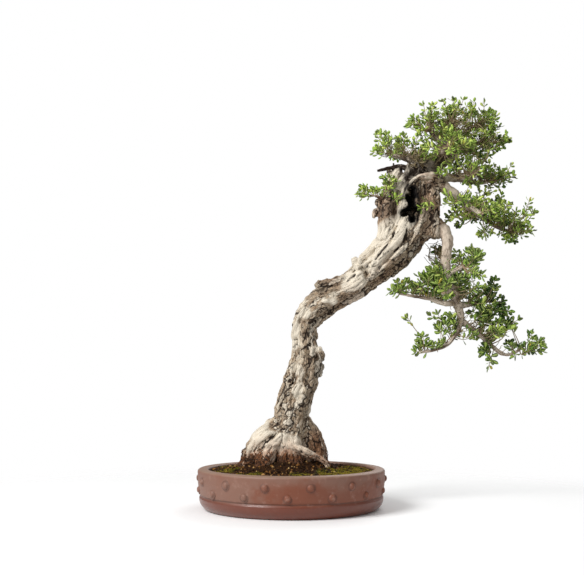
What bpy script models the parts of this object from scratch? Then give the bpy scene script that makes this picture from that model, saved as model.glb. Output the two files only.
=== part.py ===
"""Olive bonsai in a round studded drum pot.

Metres, +Z up. The origin is the middle of the pot's flat underside, -Y is the front.
Nodes: the pot, two drain meshes over its drain holes, the soil, the tree's wood (roots,
trunk and limbs, grown as one piece), and one node for each leafy spray on the limbs.
Routes and profiles below are in millimetres and are turned to metres where they are used.
"""

import math
import random

import bmesh
import bpy
from mathutils import Vector, noise
from mathutils.bvhtree import BVHTree

MM = 0.001
UP = Vector((0, 0, 1))
GAP = 0.35  # between a piece and what carries it

# The pot: a turned drum with an inward lip, a bead round the foot and two rows of studs.
RIM_RADIUS = 160.0
POT_HEIGHT = 67.5
FOOT_RADIUS = 147.5
MOUTH_RADIUS = 141.5
FLOOR_TOP = 10.0
GROOVE_HEIGHT = 24.0
POT_SEGMENTS = 44
STUDS_IN_A_ROW = 14
STUD_RADIUS = 5.2
STUD_HEIGHT = 5.0  # a third of it is sunk in the wall
STUD_ROWS = ((50.0, 10.9), (34.0, -1.96))  # height, and the turn of the first stud in degrees
DRAIN_HOLE_RADIUS = 10.0
DRAIN_HOLE_OFFSET = 52.0

# A square of plastic mesh over each drain hole.
MESH_SIDE = 29.0
MESH_THICKNESS = 1.2
MESH_CELLS = 3
MESH_BAR = 2.2

# The soil fills the pot and rises in a mound under the roots.
SOIL_SEGMENTS = 26
SOIL_RINGS = (45.0, 70.0, 95.0, 120.0)
SOIL_EDGE_HEIGHT = 63.0
MOUND_HEIGHT = 21.0
MOUND_CENTRE = (-8.0, 4.0)
MOUND_REACH = 112.0
ROOT_HOLE_GAP = 2.8  # round the roots, before the hole is simplified, which takes some of it
ROOT_HOLE_DETAIL = 0.026  # share of its triangles that the simplified hole keeps

# The tree's wood. Each point of a route is x, y, z and radius.
VOXEL = 2.4
TRUNK_TRIANGLES = 2250
TRUNK = (
    (-2, 0, 56, 40), (-2, 0, 88, 38), (-2, 0, 114, 35), (-1, 1, 139, 31.5),
    (3, 3, 165, 31), (10, 5, 191, 31), (20, 7, 220, 31), (24, 9, 248, 28),
    (24, 11, 273, 26), (22, 12, 298, 24.5), (28, 10, 322, 27), (45, 6, 345, 28.5),
    (72, 2, 362, 27.5), (102, -1, 378, 25.5), (130, -3, 401, 29), (158, -4, 425, 34.5),
    (187, -4, 454, 39), (203, -3, 486, 44), (208, 0, 521, 46), (212, 2, 548, 42),
    (216, 4, 568, 30),
)
CORE_SHARE = 0.6  # the core's radius as a share of the trunk's
STRANDS = 6
STRAND_TURN = math.radians(95)  # how far the strands wind round the trunk, base to head
STRAND_OFFSET = (0.6, 0.76)  # share of the trunk's radius at which a strand runs
STRAND_THICKNESS = (0.22, 0.42)  # strand radius as a share of the trunk's
ROOTS = {
    "surface_right": (
        (-12, -20, 117, 11), (10, -30, 108, 9), (35, -35, 97, 6.6),
        (62, -33, 86, 5.2), (80, -30, 76, 4.2), (92, -28, 66, 3.4),
    ),
    "left": ((-9, 0, 139, 24), (-38, -6, 121, 23), (-60, -8, 99, 19), (-71, -8, 76, 15), (-74, -8, 57, 13)),
    "right": ((15, 4, 141, 22), (34, 6, 117, 19), (43, 6, 96, 17), (46, 6, 70, 15), (46, 6, 57, 14)),
    "front_left": ((-16, -10, 124, 20), (-34, -22, 103, 16), (-45, -32, 79, 13), (-48, -35, 57, 11)),
    "back": ((1, 12, 130, 24), (-1, 30, 107, 19), (-2, 42, 78, 15), (-2, 44, 57, 13)),
    "back_left": ((-18, 10, 129, 20), (-42, 22, 100, 16), (-57, 31, 74, 13), (-60, 33, 57, 11)),
    "back_right": ((15, 12, 130, 19), (32, 26, 102, 15), (42, 34, 75, 12), (43, 36, 57, 11)),
}
THIN_LIMB = 6.5  # a limb that starts thinner than this has four sides, a thicker one six
ROOT_BASE_HEIGHT = 65.0  # the root ball is cut flat here, down in the soil
HEAD_PIECES = {
    "dead_column": (
        (160, -12, 440, 18), (172, -16, 470, 20), (171, -17, 500, 17), (172, -17, 525, 16.5),
        (176, -14, 551, 15), (181, -10, 571, 13), (190, -6, 586, 9),
    ),
    "living_side": ((236, -8, 470, 25), (241, -12, 506, 22), (240, -12, 537, 22), (238, -10, 560, 18)),
    "arch": ((206, -24, 546, 9), (222, -27, 562, 9), (243, -27, 571, 10), (258, -22, 564, 11)),
}
BURLS = (
    (48, -12, 374, 13), (60, -8, 378, 10), (50, 0, 228, 9), (48, 2, 256, 13), (47, -3, 241, 10),
    (118, -8, 433, 9), (154, -20, 527, 9), (92, -6, 400, 10), (150, 22, 425, 15),
    (38, 28, 300, 12), (226, 34, 500, 16), (-4, 24, 196, 11),
)
HOLLOW = ((199, -36, 512), (16, 36, 38))  # centre and half sizes of the open hollow in the head
CRACKS = (
    # width and depth, then the points that the crack runs through
    (5.0, 9.0, ((5, -30, 262), (10, -30, 245), (16, -28, 228), (18, -30, 212))),
    (6.5, 9.0, ((32, -24, 232), (33, -28, 210), (33, -28, 190), (30, -30, 172))),
    (5.0, 10.0, ((6, -20, 300), (9, -20, 288), (11, -20, 276))),
    (5.5, 9.0, ((126, -30, 411), (121, -30, 403), (119, -30, 395))),
    (4.5, 7.0, ((20, -20, 358), (40, -26, 362), (62, -28, 374), (80, -28, 366), (98, -26, 352))),
    (4.0, 6.0, ((178, -36, 478), (166, -38, 452), (150, -38, 425), (134, -34, 402), (122, -30, 378))),
    (4.0, 6.0, ((198, -38, 474), (186, -40, 448), (168, -40, 424), (150, -36, 406))),
    (5.0, 7.0, ((20, 38, 130), (26, 38, 170), (34, 38, 215), (34, 36, 260), (30, 34, 300))),
    (5.0, 7.0, ((70, 28, 372), (110, 26, 398), (150, 34, 440), (196, 42, 500))),
    (4.5, 6.0, ((-22, 24, 140), (-16, 32, 180), (-6, 34, 220), (2, 34, 262))),
)
LIMBS = {
    "dead_stub": (
        (226, -8, 570, 8), (213, -14, 586, 7), (192, -18, 592, 4.6), (171, -20, 589, 3.5), (152, -22, 584, 2.4),
    ),
    "lower": (
        (238, -18, 556, 8), (263, -22, 558, 9.4), (285, -18, 542, 9.2), (307, -12, 526, 7.6),
        (330, -6, 511, 5.8), (354, -1, 494, 4.4), (374, 2, 484, 3.4), (388, 3, 481, 2.6),
    ),
    "mid": (
        (238, 0, 560, 11), (276, 6, 577, 8.4), (300, 10, 578, 6.4), (322, 12, 573, 4.8),
        (340, 12, 571, 3.4), (352, 12, 572, 2.6),
    ),
    "upper_right": (
        (236, 4, 568, 12), (252, 4, 588, 11.5), (274, 9, 606, 9.2), (294, 13, 619, 7.2),
        (313, 16, 634, 5.4), (331, 17, 644, 3.8), (345, 17, 647, 2.6),
    ),
    "leader": (
        (224, 2, 552, 20), (237, 2, 573, 17), (248, 0, 598, 13.5), (265, 0, 614, 10.2),
        (281, 0, 627, 8), (293, 0, 639, 6.4), (294, -2, 652, 4.4), (289, -3, 664, 3.2), (286, -4, 672, 2.6),
    ),
    "leader_left": (
        (292, 0, 636, 6.4), (276, -4, 636, 5.4), (264, -8, 643, 4.2), (254, -10, 651, 3.2), (244, -13, 658, 2.5),
    ),
    "leader_right": ((292, 0, 640, 5.6), (306, 4, 655, 4.2), (319, 7, 665, 3.2), (329, 9, 672, 2.5)),
    "upper_left": (
        (238, -2, 574, 14), (223, -7, 602, 9.6), (206, -10, 611, 6.8), (191, -12, 613, 4.8), (176, -14, 615, 3),
    ),
    "left_pad": ((172, -16, 524, 9), (163, -22, 531, 5), (153, -27, 535, 3.2), (148, -29, 537, 2.6)),
    "cascade": (
        (228, -4, 480, 20), (251, -12, 489, 13.5), (266, -16, 479, 11.5), (273, -18, 460, 10.2),
        (271, -18, 436, 9.2), (270, -15, 411, 8.4), (278, -8, 382, 8), (290, -2, 354, 7.8),
        (297, 0, 330, 6.8), (294, -2, 309, 6), (282, -5, 289, 4.6), (268, -8, 276, 3.4), (258, -9, 270, 2.6),
    ),
    "cascade_left": (
        (288, -2, 352, 7), (265, -8, 351, 5.2), (240, -12, 359, 3.8), (224, -14, 362, 3), (212, -15, 365, 2.4),
    ),
    "cascade_right": (
        (297, 0, 322, 6), (318, 7, 307, 5.4), (336, 10, 293, 4.8), (354, 11, 276, 4), (369, 10, 264, 3.2),
        (380, 9, 262, 2.6),
    ),
    "cascade_upper_right": (
        (292, 0, 346, 6.2), (315, 12, 351, 4.6), (330, 17, 352, 3.4), (341, 20, 350, 2.6),
    ),
    "cascade_shoulder": ((271, -14, 402, 6), (287, -19, 408, 3.8), (297, -23, 414, 2.6)),
    "cascade_back": ((279, -4, 378, 6.4), (291, 24, 371, 4.6), (301, 44, 369, 2.8)),
    "cascade_front": ((281, -8, 374, 6), (267, -33, 368, 4.2), (257, -50, 364, 2.8)),
    "leader_front": ((266, -2, 614, 8), (271, -28, 618, 5.2), (272, -48, 623, 2.8)),
    "leader_back": ((274, 2, 620, 8), (288, 32, 640, 5.2), (296, 52, 656, 2.8)),
    "upper_right_back": ((312, 16, 633, 5.6), (326, 38, 637, 4.2), (338, 56, 640, 2.6)),
    "mid_front": ((300, 10, 578, 6), (309, -16, 575, 4.2), (317, -37, 571, 2.6)),
    "lower_front": ((308, -12, 525, 6.6), (319, -34, 511, 4.6), (326, -52, 500, 2.6)),
    "lower_back": ((318, -8, 519, 6), (340, 20, 525, 4.4), (356, 40, 530, 2.6)),
    "upper_left_back": ((216, -8, 605, 7.4), (210, 18, 624, 4.8), (204, 38, 637, 2.6)),
}

# Leafy sprays: limb, share of the way along it, direction, length. A share of 1 is the limb's tip.
SPRAYS = (
    ("leader", 1.0, (0.05, 0.0, 1.0), 34), ("leader_left", 1.0, (-0.9, -0.1, 0.35), 32),
    ("leader_left", 0.55, (-0.1, 0.25, 1.0), 48), ("leader_right", 1.0, (0.8, 0.1, 0.3), 34),
    ("leader_right", 0.6, (0.3, -0.6, 0.8), 36), ("leader_front", 1.0, (0.1, -1.0, 0.25), 38),
    ("leader_back", 1.0, (0.2, 0.9, 0.4), 36), ("upper_left", 1.0, (-1.0, -0.1, 0.1), 28),
    ("upper_left", 0.72, (-0.15, -0.4, 1.0), 34),
    ("upper_left_back", 1.0, (-0.4, 0.8, 0.2), 36), ("upper_right", 1.0, (1.0, -0.1, 0.0), 36),
    ("upper_right", 0.62, (0.2, -0.6, 0.8), 38), ("upper_right_back", 1.0, (0.6, 0.8, 0.1), 36),
    ("mid", 1.0, (1.0, -0.2, 0.2), 34), ("mid", 0.55, (0.1, 0.6, 0.8), 36),
    ("mid_front", 1.0, (0.4, -0.9, 0.0), 34), ("lower", 0.34, (-0.3, -0.8, -0.5), 44),
    ("lower", 0.62, (0.2, -0.2, 0.9), 36), ("lower", 0.84, (0.5, 0.2, 0.9), 44),
    ("lower", 1.0, (1.0, 0.0, -0.1), 36), ("lower_front", 1.0, (0.3, -1.0, 0.1), 34),
    ("lower_back", 1.0, (0.7, 0.7, 0.1), 34), ("left_pad", 1.0, (-1.0, -0.2, 0.15), 28),
    ("left_pad", 0.45, (-0.2, -0.6, 0.8), 28), ("cascade_shoulder", 1.0, (0.6, -0.3, 0.9), 34),
    ("cascade", 0.5, (-0.8, -0.5, 0.6), 42), ("cascade_left", 1.0, (-1.0, -0.1, 0.1), 28),
    ("cascade_left", 0.55, (-0.2, 0.3, 0.9), 44), ("cascade_front", 1.0, (-0.2, -1.0, 0.2), 32),
    ("cascade_back", 1.0, (0.4, 0.9, 0.2), 34), ("cascade_upper_right", 1.0, (0.9, -0.2, -0.1), 34),
    ("cascade_right", 0.45, (0.3, 0.2, 0.9), 44), ("cascade_right", 0.72, (-0.2, -0.6, -0.7), 28),
    ("cascade_right", 1.0, (1.0, -0.1, 0.3), 40), ("cascade", 1.0, (-1.0, -0.1, 0.1), 28),
    ("cascade", 0.92, (-0.5, 0.1, 0.8), 52),
)
SPRAY_SEED = 60
TWIG_WIDTH = (2.2, 1.2)  # across its flats, at the twig's root and at its tip
NODE_LENGTH = 1.1  # along the twig, where a leaf or a side shoot grows
TWIG_NODES = (0.3, 0.52, 0.72, 0.91)  # shares of the twig's length
SHOOT_NODES = (0.62,)
SHOOT_LENGTHS = {0: 0.6, 2: 0.46}  # nodes of the twig with a side shoot, and its share of the length
LEAF_LENGTH = 14.5
LEAF_WIDTH = 6.2
LEAF_THICKNESS = 0.8
LEAF_WIDEST = 0.56
LEAF_DROOP = 0.1
CLEARANCE = 0.5
TRIES = 48

# Colours, as seen in daylight.
COLOURS = {
    "stoneware": ((0.25, 0.115, 0.075), 0.45),
    "drain_mesh": ((0.03, 0.03, 0.03), 0.7),
    "soil": ((0.05, 0.034, 0.02), 0.95),
    "bark": ((0.42, 0.35, 0.27), 0.85),
    "foliage": ((0.13, 0.2, 0.035), 0.55),
}


def clear_scene():
    """Removes what the startup scene holds."""
    for obj in list(bpy.data.objects):
        bpy.data.objects.remove(obj)


def new_collection(name):
    """A collection in the scene."""
    made = bpy.data.collections.new(name)
    bpy.context.scene.collection.children.link(made)
    return made


def material(name):
    """The material of this name, with its colour and roughness."""
    found = bpy.data.materials.get(name)
    if found:
        return found
    made = bpy.data.materials.new(name)
    made.use_nodes = True
    colour, roughness = COLOURS[name]
    shader = made.node_tree.nodes["Principled BSDF"]
    shader.inputs["Base Color"].default_value = (*colour, 1)
    shader.inputs["Roughness"].default_value = roughness
    shader.inputs["Metallic"].default_value = 0
    return made


def put(mesh, name, collection, material_name=None):
    """An object that holds this mesh."""
    obj = bpy.data.objects.new(name, mesh)
    collection.objects.link(obj)
    if material_name:
        mesh.materials.clear()
        mesh.materials.append(material(material_name))
    return obj


def mesh_from_bmesh(bm, name):
    """Turns a bmesh into a mesh with its faces pointing out, and frees it."""
    bmesh.ops.recalc_face_normals(bm, faces=bm.faces)
    mesh = bpy.data.meshes.new(name)
    bm.to_mesh(mesh)
    bm.free()
    return mesh


def baked(obj, keep=False):
    """The mesh that the object's modifiers make. The object goes unless it is kept."""
    bpy.context.view_layer.update()
    graph = bpy.context.evaluated_depsgraph_get()
    mesh = bpy.data.meshes.new_from_object(obj.evaluated_get(graph))
    mesh.transform(obj.matrix_world)
    if not keep:
        bpy.data.objects.remove(obj)
    return mesh


def welded(mesh):
    """Joins a tube's caps to its sides."""
    bm = bmesh.new()
    bm.from_mesh(mesh)
    bmesh.ops.remove_doubles(bm, verts=bm.verts, dist=0.01 * MM)
    bmesh.ops.recalc_face_normals(bm, faces=bm.faces)
    bm.to_mesh(mesh)
    bm.free()
    return mesh


def boolean(obj, other, operation, solver="EXACT"):
    """Adds a Boolean modifier that takes an object or a collection."""
    modifier = obj.modifiers.new(operation.lower(), "BOOLEAN")
    modifier.operation = operation
    modifier.solver = solver
    if isinstance(other, bpy.types.Collection):
        modifier.operand_type = "COLLECTION"
        modifier.collection = other
    else:
        modifier.object = other
    return modifier


def fused(meshes, name, collection, material_name, solver="MANIFOLD"):
    """One solid from several closed meshes, by one union with a collection of the rest."""
    rest = new_collection(name + "_pieces")
    base = put(meshes[0], name + "_base", collection)
    for index, mesh in enumerate(meshes[1:]):
        put(mesh, f"{name}_piece_{index}", rest)
    boolean(base, rest, "UNION", solver)
    mesh = baked(base)
    for piece in list(rest.objects):
        bpy.data.objects.remove(piece)
    bpy.data.collections.remove(rest)
    return put(mesh, name, collection, material_name)


def smooth(obj, degrees=40):
    """Shades a round piece smooth, with its sharp edges kept."""
    obj.data.shade_smooth()
    obj.data.set_sharp_from_angle(angle=math.radians(degrees))
    return obj


def turned(profile, segments, name):
    """A solid of revolution from radius and height points that run down the outer side."""
    mesh = bpy.data.meshes.new(name)
    points = [(radius * MM, 0, height * MM) for radius, height in profile]
    mesh.from_pydata(points, [(i, i + 1) for i in range(len(points) - 1)], [])
    obj = put(mesh, name, bpy.context.scene.collection)
    screw = obj.modifiers.new("turn", "SCREW")
    screw.steps = segments
    screw.render_steps = segments
    screw.use_merge_vertices = True
    screw.merge_threshold = 0.00005
    return welded(baked(obj))


def cylinder(radius, depth, centre, segments=24):
    """A closed upright cylinder, sizes in millimetres."""
    bm = bmesh.new()
    bmesh.ops.create_cone(
        bm, cap_ends=True, segments=segments, radius1=radius * MM, radius2=radius * MM, depth=depth * MM
    )
    bmesh.ops.translate(bm, verts=bm.verts, vec=Vector(centre) * MM)
    return mesh_from_bmesh(bm, "cylinder")


def box(sides, centre):
    """A closed box, sizes in millimetres."""
    bm = bmesh.new()
    bmesh.ops.create_cube(bm, size=1)
    bmesh.ops.scale(bm, verts=bm.verts, vec=Vector(sides) * MM)
    bmesh.ops.translate(bm, verts=bm.verts, vec=Vector(centre) * MM)
    return mesh_from_bmesh(bm, "box")


def ball(half_sizes, centre, segments=12, rings=8):
    """A closed ellipsoid, sizes in millimetres."""
    bm = bmesh.new()
    bmesh.ops.create_uvsphere(bm, u_segments=segments, v_segments=rings, radius=1)
    bmesh.ops.scale(bm, verts=bm.verts, vec=Vector(half_sizes) * MM)
    bmesh.ops.translate(bm, verts=bm.verts, vec=Vector(centre) * MM)
    return mesh_from_bmesh(bm, "ball")


def along(route, share):
    """The point, radius and direction at a share of the way along a route, in millimetres."""
    points = [Vector(p[:3]) for p in route]
    lengths = [(b - a).length for a, b in zip(points, points[1:])]
    left = share * sum(lengths)
    for index, length in enumerate(lengths):
        if left <= length or index == len(lengths) - 1:
            part = min(left / length, 1.0)
            point = points[index].lerp(points[index + 1], part)
            radius = route[index][3] + part * (route[index + 1][3] - route[index][3])
            return point, radius, (points[index + 1] - points[index]).normalized()
        left -= length
    raise ValueError("the route has no length")


def rounded(route, steps):
    """The route as a smooth curve through its own points, with this many steps between two."""
    ends = [Vector(p) for p in route]
    first, last = 2 * ends[0] - ends[1], 2 * ends[-1] - ends[-2]
    knots = [first, *ends, last]
    found = []
    for a, b, c, d in zip(knots, knots[1:], knots[2:], knots[3:]):
        for step in range(steps):
            t = step / steps
            slope, bend, twist = c - a, 2 * a - 5 * b + 4 * c - d, 3 * b - a - 3 * c + d
            found.append(0.5 * (2 * b + slope * t + bend * t * t + twist * t**3))
    return [*found, ends[-1]]


def tube(route, name, sides_step=1):
    """A closed tube along x, y, z, radius points, with 4 + 2 * sides_step sides."""
    curve = bpy.data.curves.new(name, "CURVE")
    curve.dimensions = "3D"
    curve.bevel_depth = 1
    curve.bevel_resolution = sides_step
    curve.use_fill_caps = True
    spline = curve.splines.new("POLY")
    spline.points.add(len(route) - 1)
    for point, (x, y, z, radius) in zip(spline.points, route):
        point.co = (x * MM, y * MM, z * MM, 1)
        point.radius = radius * MM
    obj = bpy.data.objects.new(name, curve)
    bpy.context.scene.collection.objects.link(obj)
    return welded(baked(obj))


def pot_profile():
    """Radius and height points: floor, inner wall, lip, then down the outer side to the foot."""
    inner_wall = ((0, FLOOR_TOP), (138, FLOOR_TOP), (148.5, 22), (149.5, 50), (MOUTH_RADIUS, 60))
    lip = ((142.5, 66), (146.5, POT_HEIGHT), (156.5, POT_HEIGHT - 0.3), (RIM_RADIUS, 63.5))
    wall = ((RIM_RADIUS - 0.3, 50), (157, 26.5))
    groove = ((155.2, GROOVE_HEIGHT), (156.4, 21.2))
    foot = ((155.6, 13), (152.5, 4.5), (FOOT_RADIUS, 0), (0, 0))
    return (*inner_wall, *lip, *wall, *groove, *foot)


def wall_radius_at(height):
    """The outer wall's radius at a height between the groove and the rim."""
    low, high = (26.5, 157.0), (50.0, RIM_RADIUS - 0.3)
    share = (height - low[0]) / (high[0] - low[0])
    return low[1] + (high[1] - low[1]) * share


def stud(turn, reach, height):
    """A blunt six-sided stud that stands out from the wall at a turn from the front."""
    bm = bmesh.new()
    bmesh.ops.create_cone(
        bm, cap_ends=True, segments=6, radius1=STUD_RADIUS * MM, radius2=0.45 * STUD_RADIUS * MM,
        depth=STUD_HEIGHT * MM,
    )
    outward = Vector((math.sin(turn), -math.cos(turn), 0))
    bm.transform(outward.to_track_quat("Z", "Y").to_matrix().to_4x4())
    bmesh.ops.translate(bm, verts=bm.verts, vec=(outward * reach + UP * height) * MM)
    return mesh_from_bmesh(bm, "stud")


def make_pot(parts, cutters):
    """The drum pot with its studs, and its two drain holes."""
    studs = []
    for height, first in STUD_ROWS:
        reach = wall_radius_at(height) + STUD_HEIGHT / 2 - 1
        for index in range(STUDS_IN_A_ROW):
            turn = math.radians(first + 360 * index / STUDS_IN_A_ROW)
            studs.append(stud(turn, reach, height))
    pot = fused([turned(pot_profile(), POT_SEGMENTS, "drum"), *studs], "pot", parts, "stoneware")
    for side in (-1, 1):
        hole = cylinder(DRAIN_HOLE_RADIUS, 3 * FLOOR_TOP, (side * DRAIN_HOLE_OFFSET, 0, FLOOR_TOP / 2))
        cutter = put(hole, f"drain_hole_{side}", cutters)
        boolean(pot, cutter, "DIFFERENCE")
    mesh = baked(pot)
    return smooth(put(mesh, "pot", parts, "stoneware"))


def make_drain_meshes(parts, cutters):
    """A square of plastic mesh over each drain hole."""
    pitch = (MESH_SIDE - MESH_BAR) / MESH_CELLS
    hole = pitch - MESH_BAR
    height = FLOOR_TOP + GAP + MESH_THICKNESS / 2
    for name, side in (("drain_mesh_left", -1), ("drain_mesh_right", 1)):
        middle = side * DRAIN_HOLE_OFFSET
        holes = []
        for column in range(MESH_CELLS):
            for row in range(MESH_CELLS):
                x = middle + (column - (MESH_CELLS - 1) / 2) * pitch
                y = (row - (MESH_CELLS - 1) / 2) * pitch
                holes.append(box((hole, hole, 4 * MESH_THICKNESS), (x, y, height)))
        cutter = new_collection(name + "_holes")
        for index, mesh in enumerate(holes):
            put(mesh, f"{name}_hole_{index}", cutter)
        plate = box((MESH_SIDE, MESH_SIDE, MESH_THICKNESS), (middle, 0, height))
        square = put(plate, name + "_square", cutters)
        boolean(square, cutter, "DIFFERENCE")
        put(baked(square), name, parts, "drain_mesh")
        for obj in list(cutter.objects):
            bpy.data.objects.remove(obj)
        bpy.data.collections.remove(cutter)


def soil_height(x, y):
    """The height of the soil's surface over a point of the pot, in millimetres."""
    away = math.hypot(x - MOUND_CENTRE[0], (y - MOUND_CENTRE[1]) * 1.15) / MOUND_REACH
    mound = MOUND_HEIGHT * (1 - min(away, 1.0) ** 2) ** 1.3
    lumps = 1.6 * noise.noise(Vector((x, y, 0)) / 22) + 0.8 * noise.noise(Vector((x, y, 40)) / 9)
    fade = 1 - (math.hypot(x, y) / MOUTH_RADIUS) ** 6
    return SOIL_EDGE_HEIGHT + mound + lumps * fade


def make_soil(parts, cutters, roots):
    """The soil: it fills the pot under the lip, rises under the roots, and has a plain hole for them."""
    inset = 0.7
    top = [(radius, SOIL_EDGE_HEIGHT) for radius in SOIL_RINGS]
    side = ((MOUTH_RADIUS - inset, SOIL_EDGE_HEIGHT), (MOUTH_RADIUS - inset, 59.2), (149.5 - 1.3, 49.4))
    bottom = ((148.5 - 1.3, 22.4), (138 - inset, FLOOR_TOP + GAP), (0, FLOOR_TOP + GAP))
    mesh = turned(((0, SOIL_EDGE_HEIGHT), *top, *side, *bottom), SOIL_SEGMENTS, "soil_filling")
    for vertex in mesh.vertices:
        x, y, z = vertex.co / MM
        if z > SOIL_EDGE_HEIGHT - 0.5:
            vertex.co.z = soil_height(x, y) * MM
    soil = put(mesh, "soil_filling", parts)
    for side_sign in (-1, 1):
        pocket = MESH_SIDE + 2 * GAP
        height = 2 * (MESH_THICKNESS + 2 * GAP)
        recess = box((pocket, pocket, height), (side_sign * DRAIN_HOLE_OFFSET, 0, FLOOR_TOP))
        boolean(soil, put(recess, f"mesh_recess_{side_sign}", cutters), "DIFFERENCE")
    hole = put(roots, "root_hole", cutters)
    swell = hole.modifiers.new("swell", "DISPLACE")
    swell.strength = ROOT_HOLE_GAP * MM
    swell.mid_level = 0
    skin = hole.modifiers.new("skin", "REMESH")
    skin.mode = "VOXEL"
    skin.voxel_size = VOXEL * MM
    fewer = hole.modifiers.new("fewer", "DECIMATE")
    fewer.ratio = ROOT_HOLE_DETAIL
    seat = put(box((400, 400, 80), (0, 0, ROOT_BASE_HEIGHT - GAP + 40)), "root_seat", cutters)
    boolean(hole, seat, "INTERSECT")
    boolean(soil, put(baked(hole), "root_hole", cutters), "DIFFERENCE")
    mesh = baked(soil)
    return smooth(put(mesh, "soil", parts, "soil"), 60)


def frames_along(points):
    """A sideways pair of directions at each point, carried along without twist."""
    ahead = [(b - a).normalized() for a, b in zip(points, points[1:])]
    ahead.append(ahead[-1])
    side = ahead[0].orthogonal().normalized()
    found = []
    for forward in ahead:
        side = (side - forward * side.dot(forward)).normalized()
        found.append((side, forward.cross(side)))
    return found


def trunk_strands():
    """The trunk as a core and strands that wind round it, so that it has flutes and hollows."""
    spine = rounded(TRUNK, 2)
    points = [p.to_3d() for p in spine]
    frames = frames_along(points)
    pieces = [tube([(p.x, p.y, p.z, CORE_SHARE * p.w) for p in spine], "core", 4)]
    for strand in range(STRANDS):
        start = 2 * math.pi * strand / STRANDS
        route = []
        for index, (point, (side, across)) in enumerate(zip(points, frames)):
            radius = spine[index].w
            share = index / (len(spine) - 1)
            wander = 0.25 * math.sin(5 * share + 2.4 * strand)
            turn = start + STRAND_TURN * share + wander
            weight = 0.5 + 0.5 * math.sin(3.1 * strand + 9 * share)
            thickness = STRAND_THICKNESS[0] + (STRAND_THICKNESS[1] - STRAND_THICKNESS[0]) * weight
            offset = STRAND_OFFSET[1] - (STRAND_OFFSET[1] - STRAND_OFFSET[0]) * weight
            spot = point + (side * math.cos(turn) + across * math.sin(turn)) * offset * radius
            route.append((*spot, thickness * radius))
        pieces.append(tube(route, f"strand_{strand}", 2))
    return pieces


def nearest_depth(spot, lines):
    """How far a point of the surface, in millimetres, is pushed in by the cracks near it."""
    depth = 0.0
    for reach, deep, low, high, line in lines:
        if all(low[i] <= spot[i] <= high[i] for i in range(3)):
            near = min((spot - p).length for p in line)
            if near < reach:
                depth = max(depth, deep * (1 - (near / reach) ** 2) ** 2)
    return depth


def crack_lines():
    """Each crack's reach, depth, bounds and finely spaced points."""
    lines = []
    for width, depth, route in CRACKS:
        reach = 2.0 * width
        line = [p.to_3d() for p in rounded([Vector((*p, 0)) for p in route], 8)]
        low = [min(p[i] for p in line) - reach for i in range(3)]
        high = [max(p[i] for p in line) + reach for i in range(3)]
        lines.append((reach, depth, low, high, line))
    return lines


def roughen(mesh):
    """Lumps and knots of several sizes over the wood, and its deep cracks."""
    lines = crack_lines()
    normals = [v.normal.copy() for v in mesh.vertices]
    for vertex, normal in zip(mesh.vertices, normals):
        spot = vertex.co / MM
        lumps = 3.4 * noise.noise(spot / 24) + 2.2 * noise.noise(spot / 10 + Vector((9, 4, 2)))
        vertex.co += normal * (lumps - nearest_depth(spot, lines)) * MM


def make_trunk_body():
    """Roots, trunk and head as one closed mesh."""
    pieces = trunk_strands()
    pieces += [tube([tuple(p) for p in rounded(route, 3)], name, 4) for name, route in ROOTS.items()]
    pieces += [tube([tuple(p) for p in rounded(route, 3)], name, 4) for name, route in HEAD_PIECES.items()]
    pieces += [ball((size, size, size), (x, y, z)) for x, y, z, size in BURLS]
    bm = bmesh.new()
    for mesh in pieces:
        bm.from_mesh(mesh)
    joined = bpy.data.meshes.new("trunk_body")
    bm.to_mesh(joined)
    bm.free()
    body = put(joined, "trunk_body", bpy.context.scene.collection)
    skin = body.modifiers.new("skin", "REMESH")
    skin.mode = "VOXEL"
    skin.voxel_size = VOXEL * MM
    ease = body.modifiers.new("ease", "SMOOTH")
    ease.iterations = 1
    centre, half_sizes = HOLLOW
    hollow = put(ball(half_sizes, centre, 20, 14), "hollow", bpy.context.scene.collection)
    boolean(body, hollow, "DIFFERENCE")
    mesh = baked(body)
    bpy.data.objects.remove(hollow)
    roughen(mesh)
    return mesh


def make_wood(parts, cutters):
    """The tree's wood: the trunk's body, cut flat under the roots, with every limb grown into it.

    It also gives the mesh of the roots alone, which shapes their hole in the soil.
    """
    body = put(make_trunk_body(), "trunk_body", bpy.context.scene.collection)
    again = body.modifiers.new("skin", "REMESH")
    again.mode = "VOXEL"
    again.voxel_size = VOXEL * MM
    mesh = baked(body)
    mesh.calc_loop_triangles()
    count = len(mesh.loop_triangles)
    body = put(mesh, "trunk_body", bpy.context.scene.collection)
    fewer = body.modifiers.new("fewer", "DECIMATE")
    fewer.ratio = TRUNK_TRIANGLES / count
    below = put(box((400, 400, 60), (0, 0, ROOT_BASE_HEIGHT - 30)), "under_roots", cutters)
    boolean(body, below, "DIFFERENCE")
    trunk = baked(body)
    roots = put(trunk.copy(), "roots", parts)
    foot = put(box((400, 400, 80), (0, 0, ROOT_BASE_HEIGHT + 30)), "foot_of_trunk", cutters)
    boolean(roots, foot, "INTERSECT")
    limbs = [tube(route, name, 1 if route[0][3] > THIN_LIMB else 0) for name, route in LIMBS.items()]
    return smooth(fused([trunk, *limbs], "trunk", parts, "bark"), 70), baked(roots)


def tree_of(mesh):
    """A search tree over a mesh, for what touches what."""
    bm = bmesh.new()
    bm.from_mesh(mesh)
    found = BVHTree.FromBMesh(bm)
    bm.free()
    return found


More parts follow.
